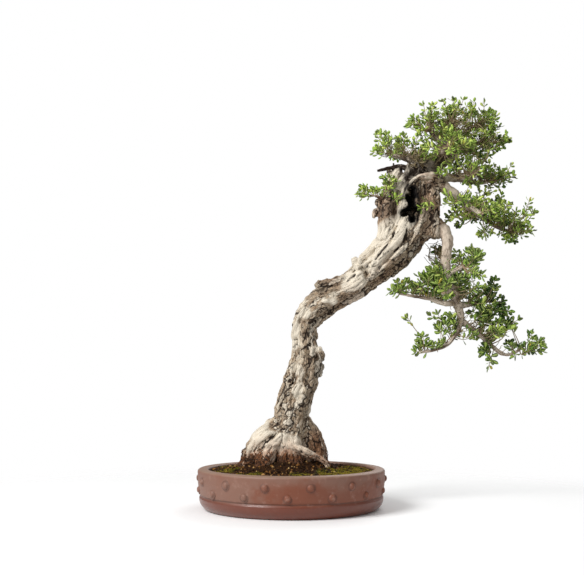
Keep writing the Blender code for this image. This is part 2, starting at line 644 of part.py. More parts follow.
class Thicket:
    """What has grown so far, so that each new leaf or twig is bent clear of it."""

    def __init__(self, wood):
        self.wood = tree_of(wood.data)
        self.grown = []

    def add(self, mesh):
        """Counts one more piece as grown."""
        corners = [v.co for v in mesh.vertices]
        low = Vector((min(c[i] for c in corners) for i in range(3)))
        high = Vector((max(c[i] for c in corners) for i in range(3)))
        self.grown.append((low, high, tree_of(mesh)))

    def free(self, corners, faces):
        """Whether these faces, in millimetres, meet nothing that has grown."""
        points = [c * MM for c in corners]
        tester = BVHTree.FromPolygons(points, faces)
        if self.wood.overlap(tester):
            return False
        low = Vector((min(c[i] for c in points) for i in range(3)))
        high = Vector((max(c[i] for c in points) for i in range(3)))
        for other_low, other_high, other in self.grown:
            apart = any(low[i] > other_high[i] or high[i] < other_low[i] for i in range(3))
            if not apart and other.overlap(tester):
                return False
        return True


def slab(centre_line, width_way, face, half_widths, half_thickness):
    """Corners and faces of a closed slab along a line, for tests of room."""
    corners = []
    for point, half_width in zip(centre_line, half_widths):
        for across, up in ((-1, -1), (1, -1), (1, 1), (-1, 1)):
            corners.append(point + width_way * (across * half_width) + face * (up * half_thickness))
    faces = [(0, 1, 2, 3)]
    for start in range(0, 4 * (len(centre_line) - 1), 4):
        for i in range(4):
            j = (i + 1) % 4
            faces.append((start + i, start + j, start + j + 4, start + i + 4))
    last = 4 * (len(centre_line) - 1)
    faces.append((last, last + 1, last + 2, last + 3))
    return corners, faces


class Spray:
    """One leafy spray in a bmesh: square twigs, with leaves and side shoots drawn out of their sides."""

    def __init__(self, thicket, draw):
        self.bm = bmesh.new()
        self.thicket = thicket
        self.draw = draw
        self.own = []

    def has_room(self, corners, faces):
        """Whether a slab meets nothing. If so, it is kept as this spray's own."""
        tester = BVHTree.FromPolygons([c * MM for c in corners], faces)
        if any(tree.overlap(tester) for tree in self.own) or not self.thicket.free(corners, faces):
            return False
        self.own.append(tester)
        return True

    def ring(self, centre, width_way, across, width):
        """Four new corners round a point of a twig."""
        half = width / 2
        corners = ((-1, -1), (1, -1), (1, 1), (-1, 1))
        spots = [centre + width_way * (i * half) + across * (j * half) for i, j in corners]
        return [self.bm.verts.new(spot * MM) for spot in spots]

    def bridge(self, before, after, left_out=()):
        """The sides between two rings. Those left out are given back as corners, for what grows there."""
        openings = []
        for side in range(4):
            after_side = (side + 1) % 4
            corners = [before[side], before[after_side], after[after_side], after[side]]
            if side in left_out:
                openings.append(corners)
            else:
                self.bm.faces.new(corners)
        return openings

    def frame_of(self, opening, way):
        """The widthways and upward directions of what grows from an opening, square to its own way."""
        width_way = opening[1].co - opening[0].co + opening[2].co - opening[3].co
        width_way = (width_way - way * width_way.dot(way)).normalized()
        return width_way, width_way.cross(way) * -1

    def middle_of(self, opening):
        """The middle of an opening, in millimetres."""
        return sum((corner.co for corner in opening), Vector()) / 4 / MM

    def close(self, opening):
        """A plain face over an opening where nothing had room to grow."""
        self.bm.faces.new(opening)

    def leaf(self, opening, outward, ahead, angle):
        """A leaf drawn out of an opening, turned until it has room."""
        root = self.middle_of(opening)
        for attempt in range(TRIES):
            spread = 0.1 + 0.03 * attempt
            jitter = Vector([self.draw.uniform(-spread, spread) for _ in range(3)])
            way = (ahead * math.cos(angle) + outward * math.sin(angle) + jitter + UP * 0.12).normalized()
            length = LEAF_LENGTH * self.draw.uniform(0.88, 1.08)
            width_way, face = self.frame_of(opening, way)
            widest = root + way * (LEAF_WIDEST * length)
            tip = root + way * length - face * (LEAF_DROOP * length)
            line = (root + way * (0.22 * length), widest, tip + way * CLEARANCE)
            room = LEAF_WIDTH / 2 + CLEARANCE
            half_widths, half_thickness = (0.6 * room, room, 0.3), LEAF_THICKNESS / 2 + CLEARANCE
            if self.has_room(*slab(line, width_way, face, half_widths, half_thickness)):
                self.add_leaf(opening, widest, tip, width_way, face)
                return
        self.close(opening)

    def add_leaf(self, opening, widest, tip, width_way, face):
        """The faces of a leaf: from its opening to its widest place, and on to its tip."""
        side, up = width_way * (LEAF_WIDTH / 2), face * (LEAF_THICKNESS / 2)
        spots = (widest - side - up, widest + side - up, widest + side + up, widest - side + up)
        wide = [self.bm.verts.new(spot * MM) for spot in spots]
        low, high = self.bm.verts.new((tip - up * 0.8) * MM), self.bm.verts.new((tip + up * 0.8) * MM)
        self.bridge(opening, wide)
        for corners in ((wide[0], wide[1], low), (wide[3], high, wide[2])):
            self.bm.faces.new(corners)
        self.bm.faces.new((wide[1], wide[2], high, low))
        self.bm.faces.new((wide[3], wide[0], low, high))

    def twig(self, ring, points, widths, nodes, first_side):
        """A square twig from a ring through points, which gives back its openings for leaves and shoots."""
        route = [(*point, width) for point, width in zip(points, widths)]
        before = ring
        openings = []
        for index, node in enumerate(nodes):
            centre, width, ahead = along(route, node)
            width_way, across = self.frame_of(before, ahead)
            half = ahead * (NODE_LENGTH / 2)
            low = self.ring(centre - half, width_way, across, width)
            high = self.ring(centre + half, width_way, across, width)
            self.bridge(before, low)
            sides = (first_side + index) % 2
            for side, opening in zip((sides, sides + 2), self.bridge(low, high, (sides, sides + 2))):
                outward = (-across, width_way, across, -width_way)[side]
                openings.append((index, side, opening, outward, ahead))
            before = high
        centre, width, ahead = along(route, 1.0)
        width_way, across = self.frame_of(before, ahead)
        last = self.ring(centre, width_way, across, width)
        self.bridge(before, last)
        openings.append((len(nodes), 0, last, ahead, ahead))
        return openings

    def shoot(self, opening, outward, ahead, length):
        """A side shoot with a pair of leaves and one at its tip, turned until it has room."""
        root = self.middle_of(opening)
        for attempt in range(TRIES):
            spread = 0.08 + 0.03 * attempt
            jitter = Vector([self.draw.uniform(-spread, spread) for _ in range(3)])
            way = (ahead * 0.62 + outward * 0.78 + jitter + UP * 0.1).normalized()
            width_way, face = self.frame_of(opening, way)
            points = (root, root + way * length)
            half = TWIG_WIDTH[1] / 2 + CLEARANCE
            line = (root + way * 2.0, root + way * (length + 1))
            if self.has_room(*slab(line, width_way, face, (half, half), half)):
                thin = TWIG_WIDTH[1]
                grown = self.twig(opening, points, (thin * 1.15, thin), SHOOT_NODES, 1)
                for _, _, gap, out, forward in grown:
                    self.leaf(gap, out, forward, math.radians(50))
                return
        self.leaf(opening, outward, ahead, math.radians(50))

    def grow(self, points, normal, length):
        """The whole spray on a twig through points, which leaves the wood along a normal."""
        width_way = normal.orthogonal().normalized()
        across = width_way.cross(normal) * -1
        ring = self.ring(points[0], width_way, across, TWIG_WIDTH[0])
        self.bm.faces.new(ring[::-1])
        thick, thin = TWIG_WIDTH
        widths = [thick + (thin - thick) * i / (len(points) - 1) for i in range(len(points))]
        openings = self.twig(ring, points, widths, TWIG_NODES, self.draw.randrange(2))
        first = self.draw.choice((0, 1))
        for index, side, opening, outward, ahead in openings:
            if index in SHOOT_LENGTHS and side // 2 == (first + index // 2) % 2:
                self.shoot(opening, outward, ahead, SHOOT_LENGTHS[index] * length)
            else:
                self.leaf(opening, outward, ahead, math.radians(52))


def twig_points(root, normal, direction, length):
    """A twig that leaves the wood square to it, then bends to its own direction and a little up."""
    ends = [
        root,
        root + (normal * 0.8 + direction * 0.4).normalized() * (0.2 * length),
        root + (normal * 0.35 + direction).normalized() * (0.55 * length),
    ]
    ends.append(ends[-1] + (direction + UP * 0.25).normalized() * (0.45 * length))
    return ends


def find_twig(thicket, limb, share, direction, length, draw):
    """Points of a twig from the wood's surface, and its first direction, clear of everything else."""
    point, _, axis = along(limb, share)
    for attempt in range(TRIES):
        spread = 0.05 * attempt
        way = (direction + Vector([draw.uniform(-spread, spread) for _ in range(3)])).normalized()
        out = axis if share == 1.0 else (way - axis * way.dot(axis)).normalized()
        start = point - axis * 2.0 if share == 1.0 else point
        hit, normal = thicket.wood.ray_cast(start * MM, out)[:2]
        if hit is None or normal.dot(out) < 0.5:
            continue
        points = twig_points(hit / MM + normal * GAP, normal, way, length)
        half = TWIG_WIDTH[0] / 2
        side = normal.orthogonal().normalized()
        foot = slab(points[:2], side, side.cross(normal), (half, half), half)
        reach = half + CLEARANCE
        upper = [points[0] + normal * 2.5, *points[1:]]
        side = (points[-1] - points[1]).orthogonal().normalized()
        across = side.cross((points[-1] - points[1]).normalized())
        if thicket.free(*foot) and thicket.free(*slab(upper, side, across, [reach] * len(upper), reach)):
            return points, normal
    return None, None


def make_sprays(parts, wood):
    """Every leafy spray, one after another, each clear of those before it."""
    thicket = Thicket(wood)
    grown = {}
    for index, (limb_name, share, direction, length) in enumerate(SPRAYS):
        draw = random.Random(SPRAY_SEED + index)
        grown[limb_name] = grown.get(limb_name, 0) + 1
        name = f"spray_{limb_name}_{grown[limb_name]}"
        limb = LIMBS[limb_name]
        points, normal = find_twig(thicket, limb, share, Vector(direction).normalized(), length, draw)
        if points is None:
            continue
        spray = Spray(thicket, draw)
        spray.grow(points, normal, length)
        bmesh.ops.triangulate(spray.bm, faces=spray.bm.faces)
        obj = put(mesh_from_bmesh(spray.bm, name), name, parts, "foliage")
        thicket.add(obj.data)


def main():
    """Builds the bonsai."""
    clear_scene()
    parts = new_collection("olive_bonsai")
    cutters = new_collection("cutters")
    make_pot(parts, cutters)
    make_drain_meshes(parts, cutters)
    wood, roots = make_wood(parts, cutters)
    make_soil(parts, cutters, roots)
    make_sprays(parts, wood)
    for obj in cutters.objects:
        obj.hide_render = True
        obj.display_type = "WIRE"


main()
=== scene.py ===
"""Olive bonsai in a round studded drum pot: the looks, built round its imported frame.

Metres, +Z up, and the tree's front faces -Y. Routes and sizes are in millimetres and are
turned to metres where a mesh is written. The pot, the soil, the wood and each leafy spray
replace their plain solids; the drain meshes keep theirs and get a finish.
"""

import logging
import math
import random
from collections.abc import Callable
from dataclasses import dataclass, field
from enum import Enum

import bmesh
import bpy
import numpy as np
from bpy.types import Material, Mesh, NodeSocket, Object, World
from mathutils import Matrix, Vector, noise
from mathutils.bvhtree import BVHTree


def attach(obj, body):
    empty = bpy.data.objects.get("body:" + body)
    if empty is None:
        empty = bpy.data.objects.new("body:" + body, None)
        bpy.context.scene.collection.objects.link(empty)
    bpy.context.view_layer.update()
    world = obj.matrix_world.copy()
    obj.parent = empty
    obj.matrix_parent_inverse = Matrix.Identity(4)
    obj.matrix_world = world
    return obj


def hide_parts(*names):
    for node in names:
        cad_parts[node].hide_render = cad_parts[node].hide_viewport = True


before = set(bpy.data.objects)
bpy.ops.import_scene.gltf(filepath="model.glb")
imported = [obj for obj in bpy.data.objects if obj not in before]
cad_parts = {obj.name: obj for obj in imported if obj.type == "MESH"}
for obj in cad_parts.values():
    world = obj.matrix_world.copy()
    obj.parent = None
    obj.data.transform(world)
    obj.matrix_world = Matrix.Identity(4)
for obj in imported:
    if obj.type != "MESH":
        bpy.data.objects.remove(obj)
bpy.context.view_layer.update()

LOG = logging.getLogger("olive_bonsai")
MM = 0.001
UP = Vector((0, 0, 1))
Row = tuple[float, ...]
Route = tuple[Row, ...]
Colour = tuple[float, float, float]
Array = np.ndarray
Faces = list[Array]
Solid = tuple[Array, Faces]


class Slot(Enum):
    """Names of the record's material slots."""

    STONEWARE = "stoneware"
    SOIL = "soil"
    BARK = "bark"
    FOLIAGE = "foliage"


# Shader building


def operator_of(operation: str, reflected: bool = False) -> "Callable[[Signal, Signal | float], Signal]":
    """An operator of Signal, which adds a Math node to its graph.

    Args:
        operation: What the node does.
        reflected: Whether the signal stands at the operator's right.

    Returns:
        The operator's method.
    """

    def method(self: "Signal", other: "Signal | float") -> "Signal":
        """The outcome of the operation."""
        pair = (other, self) if reflected else (self, other)
        return self.graph.node("ShaderNodeMath", {"operation": operation}, dict(enumerate(pair)))

    return method


class Signal:
    """A node's output. Arithmetic on values adds Math nodes to its graph."""

    def __init__(self, graph: "Graph", socket: NodeSocket) -> None:
        """Wraps an output socket of a graph."""
        self.graph = graph
        self.socket = socket

    __add__, __radd__ = operator_of("ADD"), operator_of("ADD", True)
    __sub__, __rsub__ = operator_of("SUBTRACT"), operator_of("SUBTRACT", True)
    __mul__, __rmul__ = operator_of("MULTIPLY"), operator_of("MULTIPLY", True)
    __pow__ = operator_of("POWER")


def rgb(red: int, green: int, blue: int) -> Colour:
    """A linear colour from the usual 0 to 255 values."""
    shares = (red / 255, green / 255, blue / 255)
    return tuple(s / 12.92 if s <= 0.04045 else ((s + 0.055) / 1.055) ** 2.4 for s in shares)


class Graph:
    """A material's node graph round one Principled shader."""

    def __init__(self, name: str) -> None:
        """Starts a material.

        Args:
            name: The material's name.
        """
        self.material = bpy.data.materials.new(name)
        self.material.use_nodes = True
        self.tree = self.material.node_tree
        self.shader = self.tree.nodes["Principled BSDF"]

    def node(
        self, kind: str, settings: dict | None = None, inputs: dict | None = None, output: int | str = 0
    ) -> Signal:
        """Adds one node.

        Args:
            kind: The node's type.
            settings: Its settings; "stops" are a ramp's places and colours.
            inputs: Values or signals for its sockets, by name or number.
            output: Which of its outputs is given back.

        Returns:
            The chosen output.
        """
        made = self.tree.nodes.new(kind)
        for name, value in (settings or {}).items():
            if name == "stops":
                ramp = made.color_ramp
                while len(ramp.elements) < len(value):
                    ramp.elements.new(1.0)
                for element, (place, colour) in zip(ramp.elements, value):
                    element.position = place
                    element.color = (*colour, 1.0)
            else:
                setattr(made, name, value)
        for name, value in (inputs or {}).items():
            self.feed(made.inputs[name], value)
        return Signal(self, made.outputs[output])

    def feed(self, socket: NodeSocket, value: "Signal | float | tuple") -> None:
        """Links or sets one socket.

        Args:
            socket: The input socket.
            value: A signal to link, or a plain value to set.
        """
        if isinstance(value, Signal):
            self.tree.links.new(value.socket, socket)
        elif isinstance(value, tuple) and len(value) == 3 and socket.type == "RGBA":
            socket.default_value = (*value, 1.0)
        else:
            socket.default_value = value

    def shade(self, **inputs: "Signal | float | tuple") -> None:
        """Feeds the shader's sockets, named with underscores for spaces."""
        for name, value in inputs.items():
            self.feed(self.shader.inputs[name.replace("_", " ")], value)

    def place(self) -> Signal:
        """The point of the surface, in the object's own metres."""
        return self.node("ShaderNodeTexCoord", output="Object")

    def value(self, name: str) -> Signal:
        """A number stored on the mesh's corners."""
        return self.node("ShaderNodeAttribute", {"attribute_name": name}, output="Fac")

    def direction(self, name: str) -> Signal:
        """A vector stored on the mesh's corners."""
        return self.node("ShaderNodeAttribute", {"attribute_name": name}, output="Vector")

    def stretched(self, vector: Signal, scale: Row) -> Signal:
        """A vector with each axis scaled."""
        return self.node("ShaderNodeVectorMath", {"operation": "MULTIPLY"}, {0: vector, 1: scale})

    def clouds(self, vector: Signal, size: float, detail: float = 3.0, rough: float = 0.55) -> Signal:
        """Soft noise from 0 to 1, in patches of a size in the vector's own unit."""
        inputs = {"Vector": vector, "Scale": 1.0 / size, "Detail": detail, "Roughness": rough}
        return self.node("ShaderNodeTexNoise", None, inputs, "Fac")

    def crackle(self, vector: Signal, size: float) -> Signal:
        """The distance to the nearest edge between plates of about one size, 0 at an edge."""
        inputs = {"Vector": vector, "Scale": 1.0 / size}
        return self.node("ShaderNodeTexVoronoi", {"feature": "DISTANCE_TO_EDGE"}, inputs, "Distance")

    def wobbled(self, vector: Signal, size: float, amount: float) -> Signal:
        """A vector pushed about by soft noise.

        Args:
            vector: The vector.
            size: The size of the noise's patches.
            amount: How far it is pushed.

        Returns:
            The pushed vector.
        """
        inputs = {"Vector": vector, "Scale": 1.0 / size, "Detail": 2.0}
        push = self.node("ShaderNodeTexNoise", None, inputs, "Color")
        scaled = {0: push, 1: (amount, amount, amount), 2: vector}
        return self.node("ShaderNodeVectorMath", {"operation": "MULTIPLY_ADD"}, scaled)

    def step(self, value: Signal, low: float, high: float) -> Signal:
        """Rises smoothly from 0 at low to 1 at high."""
        settings = {"interpolation_type": "SMOOTHSTEP", "clamp": True}
        inputs = {0: value, 1: low, 2: high, 3: 0.0, 4: 1.0}
        return self.node("ShaderNodeMapRange", settings, inputs)

    def mixed(self, share: Signal | float, first: "Signal | Colour", second: "Signal | Colour") -> Signal:
        """A colour between two, 0 for the first and 1 for the second."""
        return self.node("ShaderNodeMix", {"data_type": "RGBA"}, {0: share, 6: first, 7: second}, 2)

    def ramp(self, value: Signal, stops: tuple[tuple[float, Colour], ...]) -> Signal:
        """Colours along a value."""
        return self.node("ShaderNodeValToRGB", {"stops": stops}, {0: value})

    def bump(self, height: Signal, distance: float, strength: float = 1.0) -> Signal:
        """A normal from a height, with the height's depth in metres."""
        inputs = {"Strength": strength, "Distance": distance, "Height": height}
        return self.node("ShaderNodeBump", None, inputs)

    def axis(self, vector: Signal, index: int) -> Signal:
        """One part of a vector."""
        return self.node("ShaderNodeSeparateXYZ", None, {0: vector}, index)


# Finishes


@dataclass(frozen=True)
class StonewareFinish:
    """Unglazed brown stoneware: mauve-grey wall and rust foot, with a painted highlight on the rim's top,
    painted shade in the groove and a painted darker right side.
    """

    wall: Colour = rgb(124, 88, 73)
    wall_warm: Colour = rgb(117, 64, 42)
    wall_pale: Colour = rgb(158, 126, 112)
    foot: Colour = rgb(96, 38, 15)
    speck_and_shade: Colour = rgb(70, 44, 36)
    rim_highlight: Colour = rgb(146, 120, 102)
    # Heights in metres between which each band of the pot fades in or out.
    foot_fades: Row = (0.0215, 0.0275)
    groove_starts: Row = (0.0222, 0.0238)
    groove_ends: Row = (0.0242, 0.0262)
    rim_highlight_starts: Row = (0.0645, 0.0685)
    side_shade_fades: Row = (0.035, 0.07)
    side_shade_starts: Row = (-0.06, 0.06)

    def material(self) -> Material:
        """The finish as a material."""
        graph = Graph("stoneware_finish")
        place = graph.place()
        height = graph.axis(place, 2)
        broad = graph.clouds(place, 0.05, 3)
        mid = graph.clouds(place, 0.012, 4)
        fine = graph.clouds(place, 0.0016, 3, 0.7)
        # Painted light: the wall is painted warmer and darker towards the right and low down, as shade away
        # from the key lamp, and stays paler grey at the left as a painted sheen.
        shade_side = graph.step(graph.axis(place, 0) + 0.12 * broad, *self.side_shade_starts)
        painted_side_shade = shade_side * (1.0 - graph.step(height, *self.side_shade_fades))
        warm = graph.step(broad + 0.25 * mid + 0.3 * painted_side_shade, 0.58, 0.92)
        colour = graph.mixed(warm, self.wall, self.wall_warm)
        colour = graph.mixed(graph.step(mid, 0.52, 0.8) * 0.6, colour, self.wall_pale)
        foot = 1.0 - graph.step(height + 0.004 * broad, *self.foot_fades)
        colour = graph.mixed(foot * 0.85, colour, self.foot)
        # Painted shade: the groove over the foot bead is painted darker.
        groove_shade = graph.step(height, *self.groove_starts) * (1.0 - graph.step(height, *self.groove_ends))
        colour = graph.mixed(groove_shade * 0.55, colour, self.speck_and_shade)
        # Painted highlight: the top of the lip is painted paler.
        rim_highlight = graph.step(height + 0.003 * mid, *self.rim_highlight_starts)
        colour = graph.mixed(rim_highlight * 0.6, colour, self.rim_highlight)
        colour = graph.mixed(graph.value("halo") * 0.42, colour, self.speck_and_shade)
        specks = graph.step(graph.clouds(place, 0.0009, 2, 0.6), 0.66, 0.78)
        colour = graph.mixed(specks * 0.5, colour, self.speck_and_shade)
        rough = 0.42 + 0.2 * mid - 0.08 * foot
        turning_marks = graph.clouds(graph.stretched(place, (0.2, 0.2, 3.0)), 0.006, 2)
        relief = fine * 0.7 + mid * 0.5 + turning_marks * 0.4
        graph.shade(Base_Color=colour, Roughness=rough, Normal=graph.bump(relief, 0.0006, 0.55))
        graph.shade(Specular_IOR_Level=0.45, Coat_Weight=foot * 0.35, Coat_Roughness=0.2)
        return graph.material


@dataclass(frozen=True)
class PlasticNetFinish:
    """Dull black plastic net, dusty with soil."""

    net: Colour = rgb(30, 30, 32)
    dust: Colour = rgb(84, 70, 58)

    def material(self) -> Material:
        """The finish as a material."""
        graph = Graph("plastic_net_finish")
        place = graph.place()
        dust = graph.step(graph.clouds(place, 0.004, 4), 0.48, 0.7)
        colour = graph.mixed(dust * 0.7, self.net, self.dust)
        relief = graph.clouds(place, 0.0012, 2)
        graph.shade(Base_Color=colour, Roughness=0.5 + 0.35 * dust, Normal=graph.bump(relief, 0.0002, 0.4))
        return graph.material


@dataclass(frozen=True)
class SoilFinish:
    """Damp dark loam with humus and a few tan crumbs."""

    dark: Colour = rgb(15, 9, 5)
    loam: Colour = rgb(60, 36, 16)
    earth: Colour = rgb(104, 70, 38)
    tan: Colour = rgb(152, 106, 54)
    pale: Colour = rgb(206, 172, 118)
    green: Colour = rgb(72, 84, 34)

    def material(self) -> Material:
        """The finish as a material."""
        graph = Graph("soil_finish")
        place = graph.place()
        tone = graph.value("tone")
        fine = graph.clouds(place, 0.0022, 4, 0.65)
        damp_and_shadow = graph.clouds(place, 0.02, 3)
        stops = ((0.0, self.dark), (0.5, self.loam), (0.72, self.earth), (0.88, self.tan), (1.0, self.pale))
        colour = graph.ramp(tone * 0.75 + fine * 0.25, stops)
        colour = graph.mixed(graph.step(damp_and_shadow, 0.45, 0.7) * 0.3, colour, self.dark)
        colour = graph.mixed(graph.value("moss") * graph.step(fine, 0.3, 0.6), colour, self.green)
        rough = 0.78 + 0.18 * fine
        bump = graph.bump(fine, 0.0008, 0.7)
        graph.shade(Base_Color=colour, Roughness=rough, Normal=bump, Specular_IOR_Level=0.12)
        return graph.material


@dataclass(frozen=True)
class MossFinish:
    """Short moss, yellow-green at its tips."""

    deep: Colour = rgb(42, 38, 8)
    mid: Colour = rgb(112, 100, 22)
    tip: Colour = rgb(214, 190, 72)

    def material(self) -> Material:
        """The finish as a material."""
        graph = Graph("moss_finish")
        place = graph.place()
        reach = graph.value("reach")
        patch = graph.clouds(place, 0.012, 3)
        colour = graph.ramp(reach * 0.7 + patch * 0.3, ((0.0, self.deep), (0.5, self.mid), (1.0, self.tip)))
        graph.shade(Base_Color=colour, Roughness=0.75 + 0.15 * patch, Specular_IOR_Level=0.1)
        return graph.material


@dataclass(frozen=True)
class WoodFinish:
    """Old olive wood: pale silvery deadwood and flaky brown bark, with painted shade: near-black clefts, dark
    shade zones and a black hollow.
    """

    name: str = "wood_finish"
    cream: Colour = rgb(236, 225, 206)
    silver: Colour = rgb(212, 201, 182)
    grey: Colour = rgb(170, 154, 133)
    flake: Colour = rgb(216, 197, 170)
    brown: Colour = rgb(152, 126, 100)
    umber: Colour = rgb(92, 67, 47)
    rust: Colour = rgb(172, 106, 58)
    cleft: Colour = rgb(38, 25, 16)
    black: Colour = rgb(14, 10, 9)
    # Sizes across the grain in millimetres.
    long_streak: float = 3.4
    fine_streak: float = 1.1
    plate: float = 4.2
    craze: float = 2.7

    def material(self) -> Material:
        """The finish as a material."""
        graph = Graph(self.name)
        grain = graph.direction("grain")
        bark = graph.value("bark")
        rust = graph.value("rust")
        cleft = graph.value("cleft")
        hollow = graph.value("hollow")
        long_streaks = graph.clouds(graph.stretched(grain, (1.0, 1.0, 0.1)), self.long_streak, 4, 0.6)
        fine_streaks = graph.clouds(graph.stretched(grain, (1.0, 1.0, 0.08)), self.fine_streak, 3, 0.6)
        plates = graph.clouds(graph.stretched(grain, (1.0, 1.0, 0.45)), self.plate, 5, 0.65)
        fine = graph.clouds(grain, 1.3, 3, 0.6)
        dead_colours = (self.grey, self.silver, self.cream, self.silver, self.grey)
        dead_stops = tuple(zip((0.28, 0.42, 0.56, 0.74, 0.9), dead_colours))
        dead = graph.ramp(long_streaks * 0.65 + fine_streaks * 0.35, dead_stops)
        bark_colours = (self.umber, self.brown, self.flake, self.silver, self.grey)
        bark_stops = tuple(zip((0.28, 0.4, 0.5, 0.62, 0.78), bark_colours))
        skin = graph.ramp(plates * 0.75 + fine_streaks * 0.25, bark_stops)
        tone = graph.value("tone")
        skin = graph.mixed(graph.step(tone + 0.35 * (fine - 0.5), 0.4, 0.75) * 0.8, skin, self.cream)
        skin = graph.mixed(graph.step(0.5 - tone + 0.35 * (fine - 0.5), 0.2, 0.5) * 0.45, skin, self.brown)
        colour = graph.mixed(graph.step(bark + 0.5 * (plates - 0.5), 0.35, 0.6), dead, skin)
        stained = rust * graph.step(plates + 0.3 * fine, 0.42, 0.72)
        colour = graph.mixed(stained * (0.6 + 0.25 * bark), colour, self.rust)
        hairline = 1.0 - graph.step(fine_streaks, 0.33, 0.43)
        colour = graph.mixed(hairline * (0.42 + 0.18 * bark), colour, self.umber)
        long_line = 1.0 - graph.step(long_streaks, 0.31, 0.37)
        colour = graph.mixed(long_line * 0.7, colour, self.umber)
        crackle = graph.crackle(graph.wobbled(graph.stretched(grain, (1.0, 1.0, 0.36)), 5.0, 2.2), self.craze)
        cracks = 1.0 - graph.step(crackle, 0.01, 0.08)
        colour = graph.mixed(cracks * bark * 0.7, colour, self.cleft)
        # Painted shadow: the shade zones paint the wood dark where shade falls, and in places as darker wood.
        damp_and_shadow = graph.value("shade") * graph.step(plates + 0.4 * long_streaks, 0.4, 0.7)
        colour = graph.mixed(damp_and_shadow, colour, self.cleft)
        # Painted shade: the clefts are painted near black, following how deep they push in.
        dark = graph.step(cleft + 0.25 * (fine - 0.5), 0.2, 0.75)
        colour = graph.mixed(dark * 0.95, colour, self.cleft)
        # Painted shade: the inside of the hollow is painted black.
        colour = graph.mixed(hollow, colour, self.black)
        rough = 0.72 + 0.2 * plates
        relief = fine_streaks * 0.8 + plates * 0.7 + fine * 0.4 - cracks * bark * 0.5 - long_line * 0.6
        bump = graph.bump(relief, 0.0018, 0.85)
        graph.shade(Base_Color=colour, Roughness=rough, Normal=bump, Specular_IOR_Level=0.28)
        return graph.material


@dataclass(frozen=True)
class TwigFinish:
    """Young grey-brown shoots."""

    name: str = "twig_finish"
    pale: Colour = rgb(190, 164, 136)
    brown: Colour = rgb(122, 96, 74)
    green: Colour = rgb(116, 122, 66)

    def material(self) -> Material:
        """The finish as a material."""
        graph = Graph(self.name)
        place = graph.place()
        young = graph.value("young")
        patch = graph.clouds(place, 0.004, 3)
        colour = graph.mixed(graph.step(patch, 0.35, 0.65), self.brown, self.pale)
        colour = graph.mixed(young * 0.6, colour, self.green)
        relief = graph.clouds(place, 0.001, 2)
        graph.shade(Base_Color=colour, Roughness=0.7 + 0.15 * patch, Normal=graph.bump(relief, 0.0003, 0.5))
        return graph.material


@dataclass(frozen=True)
class LeafFinish:
    """Leathery evergreen leaves: satin green tops, paler midribs, a few yellow ones."""

    deep: Colour = rgb(18, 40, 10)
    mid: Colour = rgb(60, 104, 18)
    bright: Colour = rgb(134, 178, 42)
    lime: Colour = rgb(216, 232, 114)
    yellow: Colour = rgb(220, 196, 70)
    dusk: Colour = rgb(44, 96, 34)
    rib: Colour = rgb(186, 196, 128)

    def material(self) -> Material:
        """The finish as a material."""
        graph = Graph("leaf_finish")
        place = graph.place()
        tint = graph.value("tint")
        patch = graph.clouds(place, 0.02, 2)
        blade = graph.clouds(place, 0.003, 2)
        stops = ((0.1, self.deep), (0.38, self.mid), (0.66, self.bright), (0.88, self.lime))
        colour = graph.ramp(tint * 0.84 + patch * 0.1 + blade * 0.06, stops)
        # Painted shade: leaves marked for it are painted a darker blue-green.
        colour = graph.mixed(graph.value("dusk") * 0.38, colour, self.dusk)
        colour = graph.mixed(graph.value("under") * 0.38, colour, self.lime)
        colour = graph.mixed(graph.value("rib") ** 5.0 * 0.5, colour, self.rib)
        colour = graph.mixed(graph.value("yellowed"), colour, self.yellow)
        rough = 0.36 + 0.2 * blade
        bump = graph.bump(blade, 0.0003, 0.4)
        graph.shade(Base_Color=colour, Roughness=rough, Normal=bump, Specular_IOR_Level=0.36)
        return graph.material


@dataclass(frozen=True)
class FloorFinish:
    """A pale studio floor that fades into the light round it."""

    colour: Colour = (0.97, 0.97, 0.97)
    clear_from: float = 0.26
    clear_to: float = 0.9

    def material(self) -> Material:
        """The finish as a material."""
        graph = Graph("floor_finish")
        place = graph.place()
        away = graph.node("ShaderNodeVectorMath", {"operation": "LENGTH"}, {0: place}, "Value")
        solid = 1.0 - graph.step(away, self.clear_from, self.clear_to)
        graph.shade(Base_Color=self.colour, Roughness=0.6, Alpha=solid, Specular_IOR_Level=0.2)
        return graph.material


# Mesh building


class Shells:
    """Gathers the closed shells of one piece, with a value of each kind for every point."""

    def __init__(self) -> None:
        """Starts with nothing."""
        self.points: list[Array] = []
        self.faces: list[Array] = []
        self.values: list[dict[str, Array | float]] = []
        self.count = 0

    def add(self, points: Array, faces: Faces, **values: "Array | float") -> None:
        """Adds one or more shells.

        Args:
            points: Points in millimetres, one row each.
            faces: Arrays of faces with 3 or 4 corners, numbered within these points.
            **values: For each kind, a number for all the points or an array with one for each.
        """
        self.points.append(np.asarray(points, float))
        self.faces += [np.asarray(f, int) + self.count for f in faces if len(f)]
        self.values.append(values)
        self.count += len(points)

    def mesh(self, name: str) -> Mesh:
        """All the shells as one mesh.

        Args:
            name: The mesh's name.

        Returns:
            The mesh, in metres, with its values as attributes.
        """
        made = bpy.data.meshes.new(name)
        made.vertices.add(self.count)
        made.vertices.foreach_set("co", (np.concatenate(self.points) * MM).astype(np.float32).ravel())
        totals = np.concatenate([np.full(len(f), f.shape[1]) for f in self.faces])
        made.loops.add(int(totals.sum()))
        corners = np.concatenate([f.ravel() for f in self.faces])
        made.loops.foreach_set("vertex_index", corners.astype(np.int32))
        made.polygons.add(len(totals))
        starts = np.concatenate(([0], np.cumsum(totals)[:-1]))
        made.polygons.foreach_set("loop_start", starts.astype(np.int32))
        made.update(calc_edges=True)
        made.validate()
        for kind in sorted({k for v in self.values for k in v}):
            parts = [np.broadcast_to(v.get(kind, 0.0), len(p)) for p, v in zip(self.points, self.values)]
            store(made, kind, np.concatenate(parts))
        made.shade_smooth()
        return made


